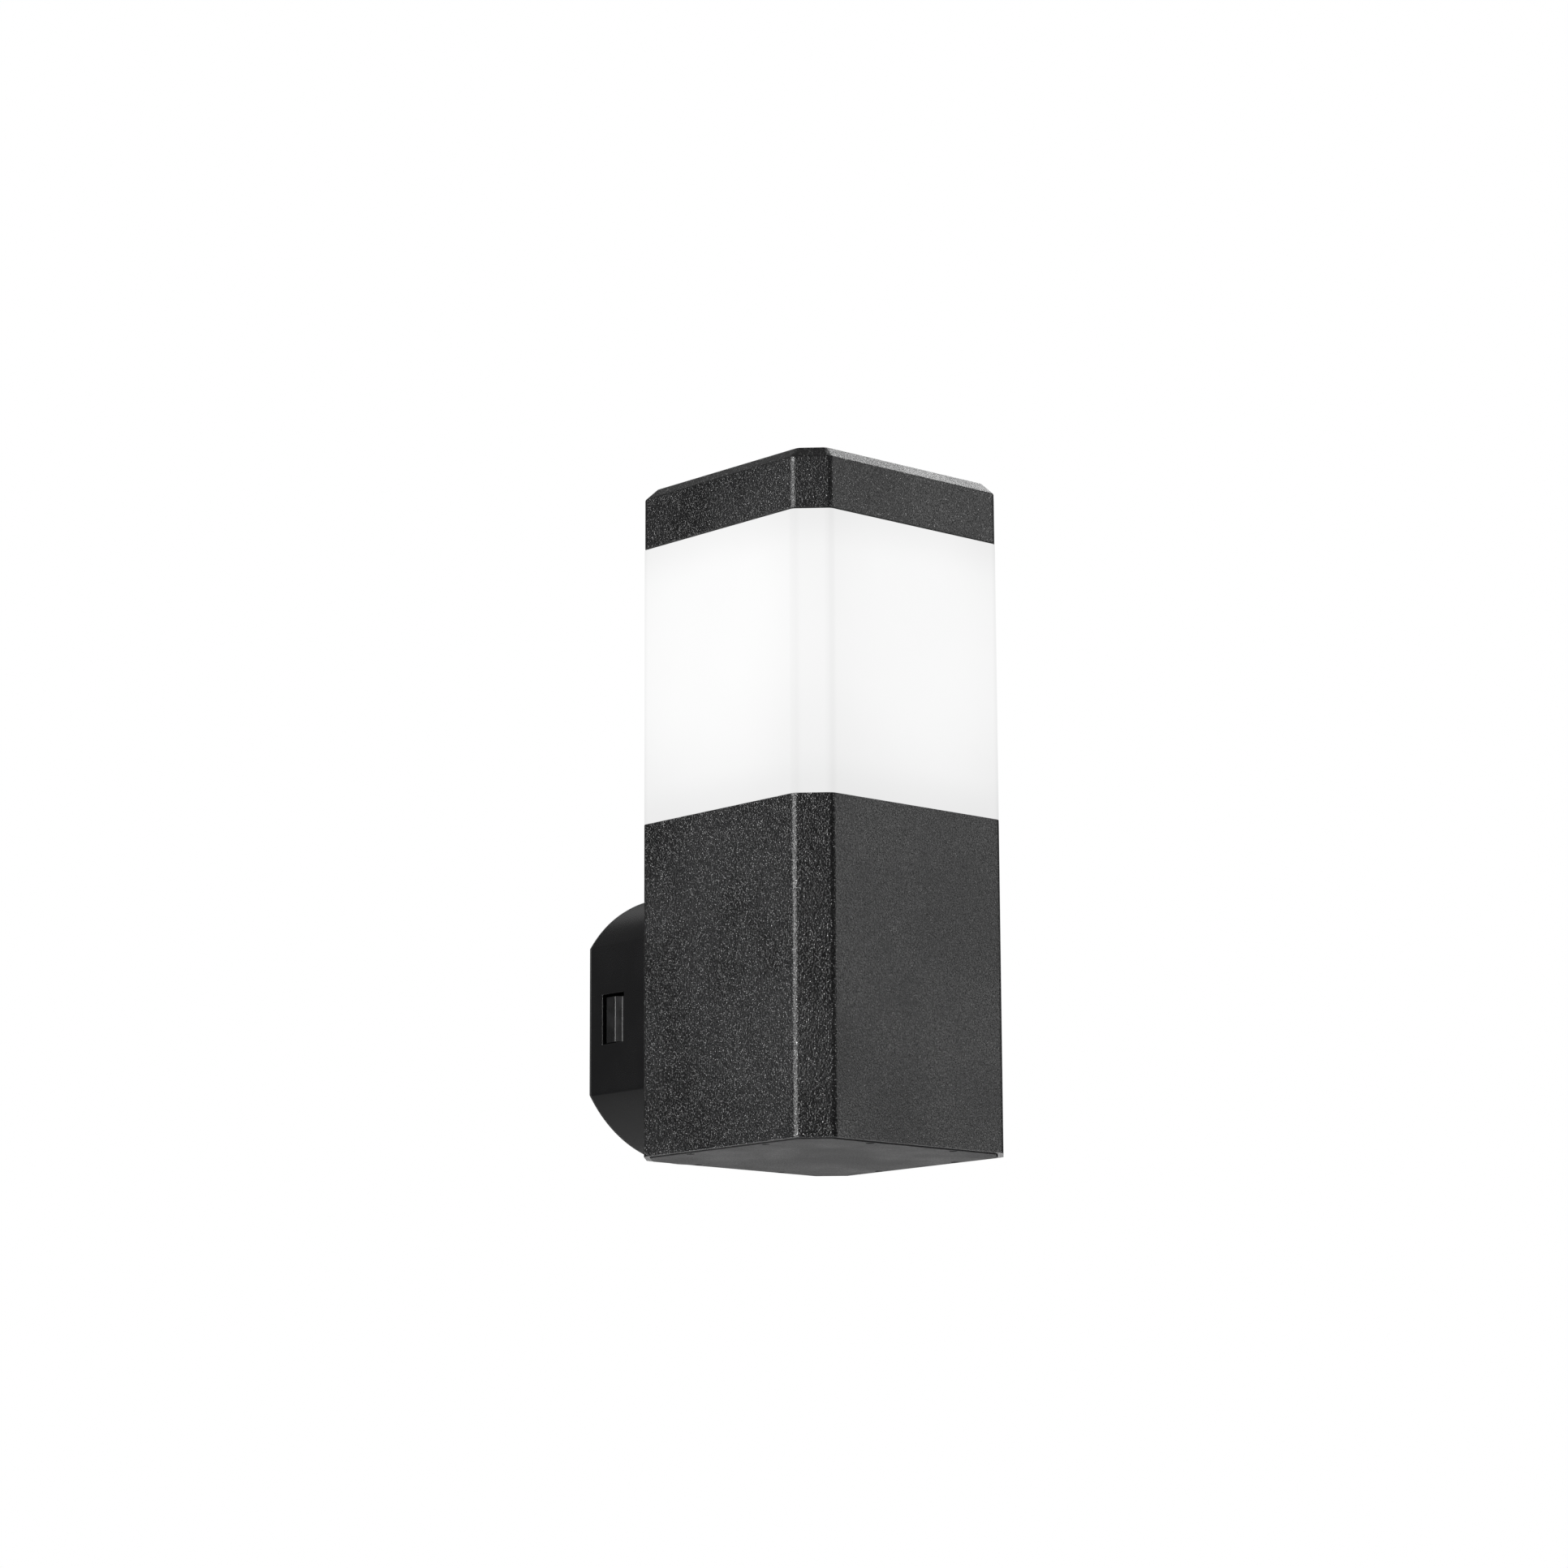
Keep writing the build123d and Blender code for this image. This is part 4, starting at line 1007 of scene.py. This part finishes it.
def makeLampCap(shape):
    low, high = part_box("lamp_cap")
    outer = (high.x - low.x) / 2
    slope = outer - 9.0 * mm
    start = low.z + slope / 2
    collarLow = high.z - shape["collar"]
    rings = [(9.0 * mm, low.z), (10.9 * mm, low.z + slope * 0.25), (shape["threadMiddle"] - 0.3 * mm, start)]
    rings += threadRings(shape["threadMiddle"], start + 0.4 * mm, collarLow - 0.5 * mm, shape["threadStep"])
    rings += [(outer - 0.2 * mm, collarLow), (outer, collarLow + 0.3 * mm), (outer, high.z)]
    cap = ringTower("lampCap", rings, shape["sides"])
    cutThread(cap, start + 0.3 * mm, collarLow - 0.4 * mm, shape["threadHeight"], shape["pitch"])
    thicken(cap, shape["capWall"])
    return hand(cap, "lamp", "nickel", "nickel", "lamp_cap")


def makeHolderShell(lamp, shape):
    low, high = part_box("holder_shell")
    rings = threadRings(shape["threadMiddle"] + shape["wall"], low.z, high.z, lamp["threadStep"])
    shell = ringTower("holderShell", rings, lamp["sides"])
    cutThread(shell, low.z - mm, high.z + mm, shape["threadHeight"], lamp["pitch"])
    thicken(shell, shape["wall"])
    return hand(shell, "lantern", "nickel", "nickel", "holder_shell")


def makeHousing(shape):
    low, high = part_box("lamp_housing")
    top = math.sqrt(((globeHigh.x - globeLow.x) / 2) ** 2 - (lampCentre.z - high.z) ** 2)
    foot = 14.0 * mm
    steps = shape["housingSteps"]
    rings = [(9.0 * mm, low.z), (foot - 0.4 * mm, low.z), (foot, low.z + 0.4 * mm)]
    for i in range(1, steps + 1):
        share = i / steps
        rings.append((foot + (top - foot) * share ** 0.85, low.z + 0.4 * mm + (high.z - low.z - 0.4 * mm) * share))
    housing = ringTower("lampHousing", rings, shape["sides"])
    only(housing)
    bpy.ops.object.mode_set(mode="EDIT")
    bpy.ops.mesh.select_all(action="DESELECT")
    bpy.ops.object.mode_set(mode="OBJECT")
    thicken(housing, shape["housingWall"])
    return hand(housing, "lamp", "whitePlastic", "white_plastic", "lamp_housing")


def makeGlobe(shape):
    cutZ = globeLow.z
    radius = (globeHigh.x - globeLow.x) / 2
    clearSelection()
    bpy.ops.mesh.primitive_uv_sphere_add(
        segments=shape["sides"], ring_count=shape["globeRings"], radius=radius, location=lampCentre)
    globe = named("lampGlobe")
    chooseFaces(globe, lambda centre, normal: True)
    bpy.ops.mesh.bisect(plane_co=(axisX, axisY, cutZ), plane_no=(0, 0, -1), clear_outer=True)
    bpy.ops.object.mode_set(mode="OBJECT")
    thicken(globe, shape["globeWall"])
    return hand(globe, "lamp", "frosted", "frosted", "lamp_globe")


makeLampCap(lampShape)
makeHolderShell(lampShape, holderShape)
makeHousing(lampShape)
makeGlobe(lampShape)

# ---- studio ----
studio = {
    "floorDrop": 1.1,
    "floorSize": 60.0,
    "fadeFrom": 1.0,  # the floor fades to the white of the world
    "fadeTo": 6.5,
    "floorNear": 0.7,
    "floorFar": 1.3,
    "worldSeen": 1.0,
    "worldLight": 0.09,
}


def makeFloor(settings):
    clearSelection()
    bpy.ops.mesh.primitive_grid_add(
        x_subdivisions=8, y_subdivisions=8, size=settings["floorSize"], location=(0, 0, cadBounds[0].z - settings["floorDrop"]))
    floor = named("floor")
    material, tree, shader = newMaterial("paleFloor")
    place = objectPlace(tree)
    noise = put(tree, "ShaderNodeTexNoise", {"Vector": place, "Scale": 3.0, "Detail": 4.0})
    tone = mixColour(tree, noise.outputs["Fac"], (0.79, 0.79, 0.79, 1), (0.83, 0.83, 0.83, 1))
    away = put(tree, "ShaderNodeVectorMath", {0: place}, operation="LENGTH").outputs["Value"]
    level = ramp(tree, away, settings["fadeFrom"], settings["fadeTo"],
                 settings["floorNear"], settings["floorFar"])
    tree.links.new(tone, shader.inputs["Base Color"])
    shader.inputs["Roughness"].default_value = 0.9
    # the floor is shown evenly pale, and lights nothing itself
    path = tree.nodes.new("ShaderNodeLightPath")
    tree.links.new(tone, shader.inputs["Emission Color"])
    tree.links.new(maths(tree, "MULTIPLY", path.outputs["Is Camera Ray"], level), shader.inputs["Emission Strength"])
    floor.data.materials.append(material)
    return floor


def makeWorld(settings):
    # white where the camera sees it, softer as a light
    world = bpy.data.worlds.new("studio")
    bpy.context.scene.world = world
    world.use_nodes = True
    tree = world.node_tree
    tree.nodes.clear()
    path = tree.nodes.new("ShaderNodeLightPath")
    seen = put(tree, "ShaderNodeBackground", {"Color": (1, 1, 1, 1), "Strength": settings["worldSeen"]})
    lit = put(tree, "ShaderNodeBackground", {"Color": (1, 1, 1, 1), "Strength": settings["worldLight"]})
    mix = put(tree, "ShaderNodeMixShader", {0: path.outputs["Is Camera Ray"], 1: lit.outputs[0], 2: seen.outputs[0]})
    out = tree.nodes.new("ShaderNodeOutputWorld")
    tree.links.new(mix.outputs[0], out.inputs["Surface"])


softBoxes = {
    # place relative to the column, size, power
    "frontRight": {"place": (1.15, -1.15, 0.35), "size": (0.8, 1.3), "power": 8.6},
    "frontLeft": {"place": (-1.15, -1.0, 0.3), "size": (0.5, 1.0), "power": 0.2},
    "leftStrip": {"place": (-1.6, 0.0, 0.3), "size": (0.5, 1.4), "power": 40.0},
    "topRight": {"place": (1.05, 0.3, 1.15), "size": (0.6, 0.6), "power": 5.2},
    "lowBehind": {"place": (0.95, 1.05, -0.32), "size": (1.2, 0.6), "power": 2.3},
    "highBehind": {"place": (0.6, 1.2, 0.95), "size": (0.6, 0.6), "power": 0.25},
}


def makeSoftBox(name, settings):
    data = bpy.data.lights.new(name, "AREA")
    data.shape = "RECTANGLE"
    data.size, data.size_y = settings["size"]
    data.energy = settings["power"]
    light = bpy.data.objects.new(name, data)
    centre = Vector((axisX, axisY, columnHigh.z))
    light.location = centre + Vector(settings["place"])
    light.rotation_euler = (-Vector(settings["place"])).to_track_quat("-Z", "Y").to_euler()
    light.visible_camera = False
    bpy.context.scene.collection.objects.link(light)
    return light


makeFloor(studio)
makeWorld(studio)
for name, settings in softBoxes.items():
    makeSoftBox(name, settings)
bpy.context.scene.view_settings.view_transform = "Standard"
print("studio made")

bpy.context.view_layer.update()
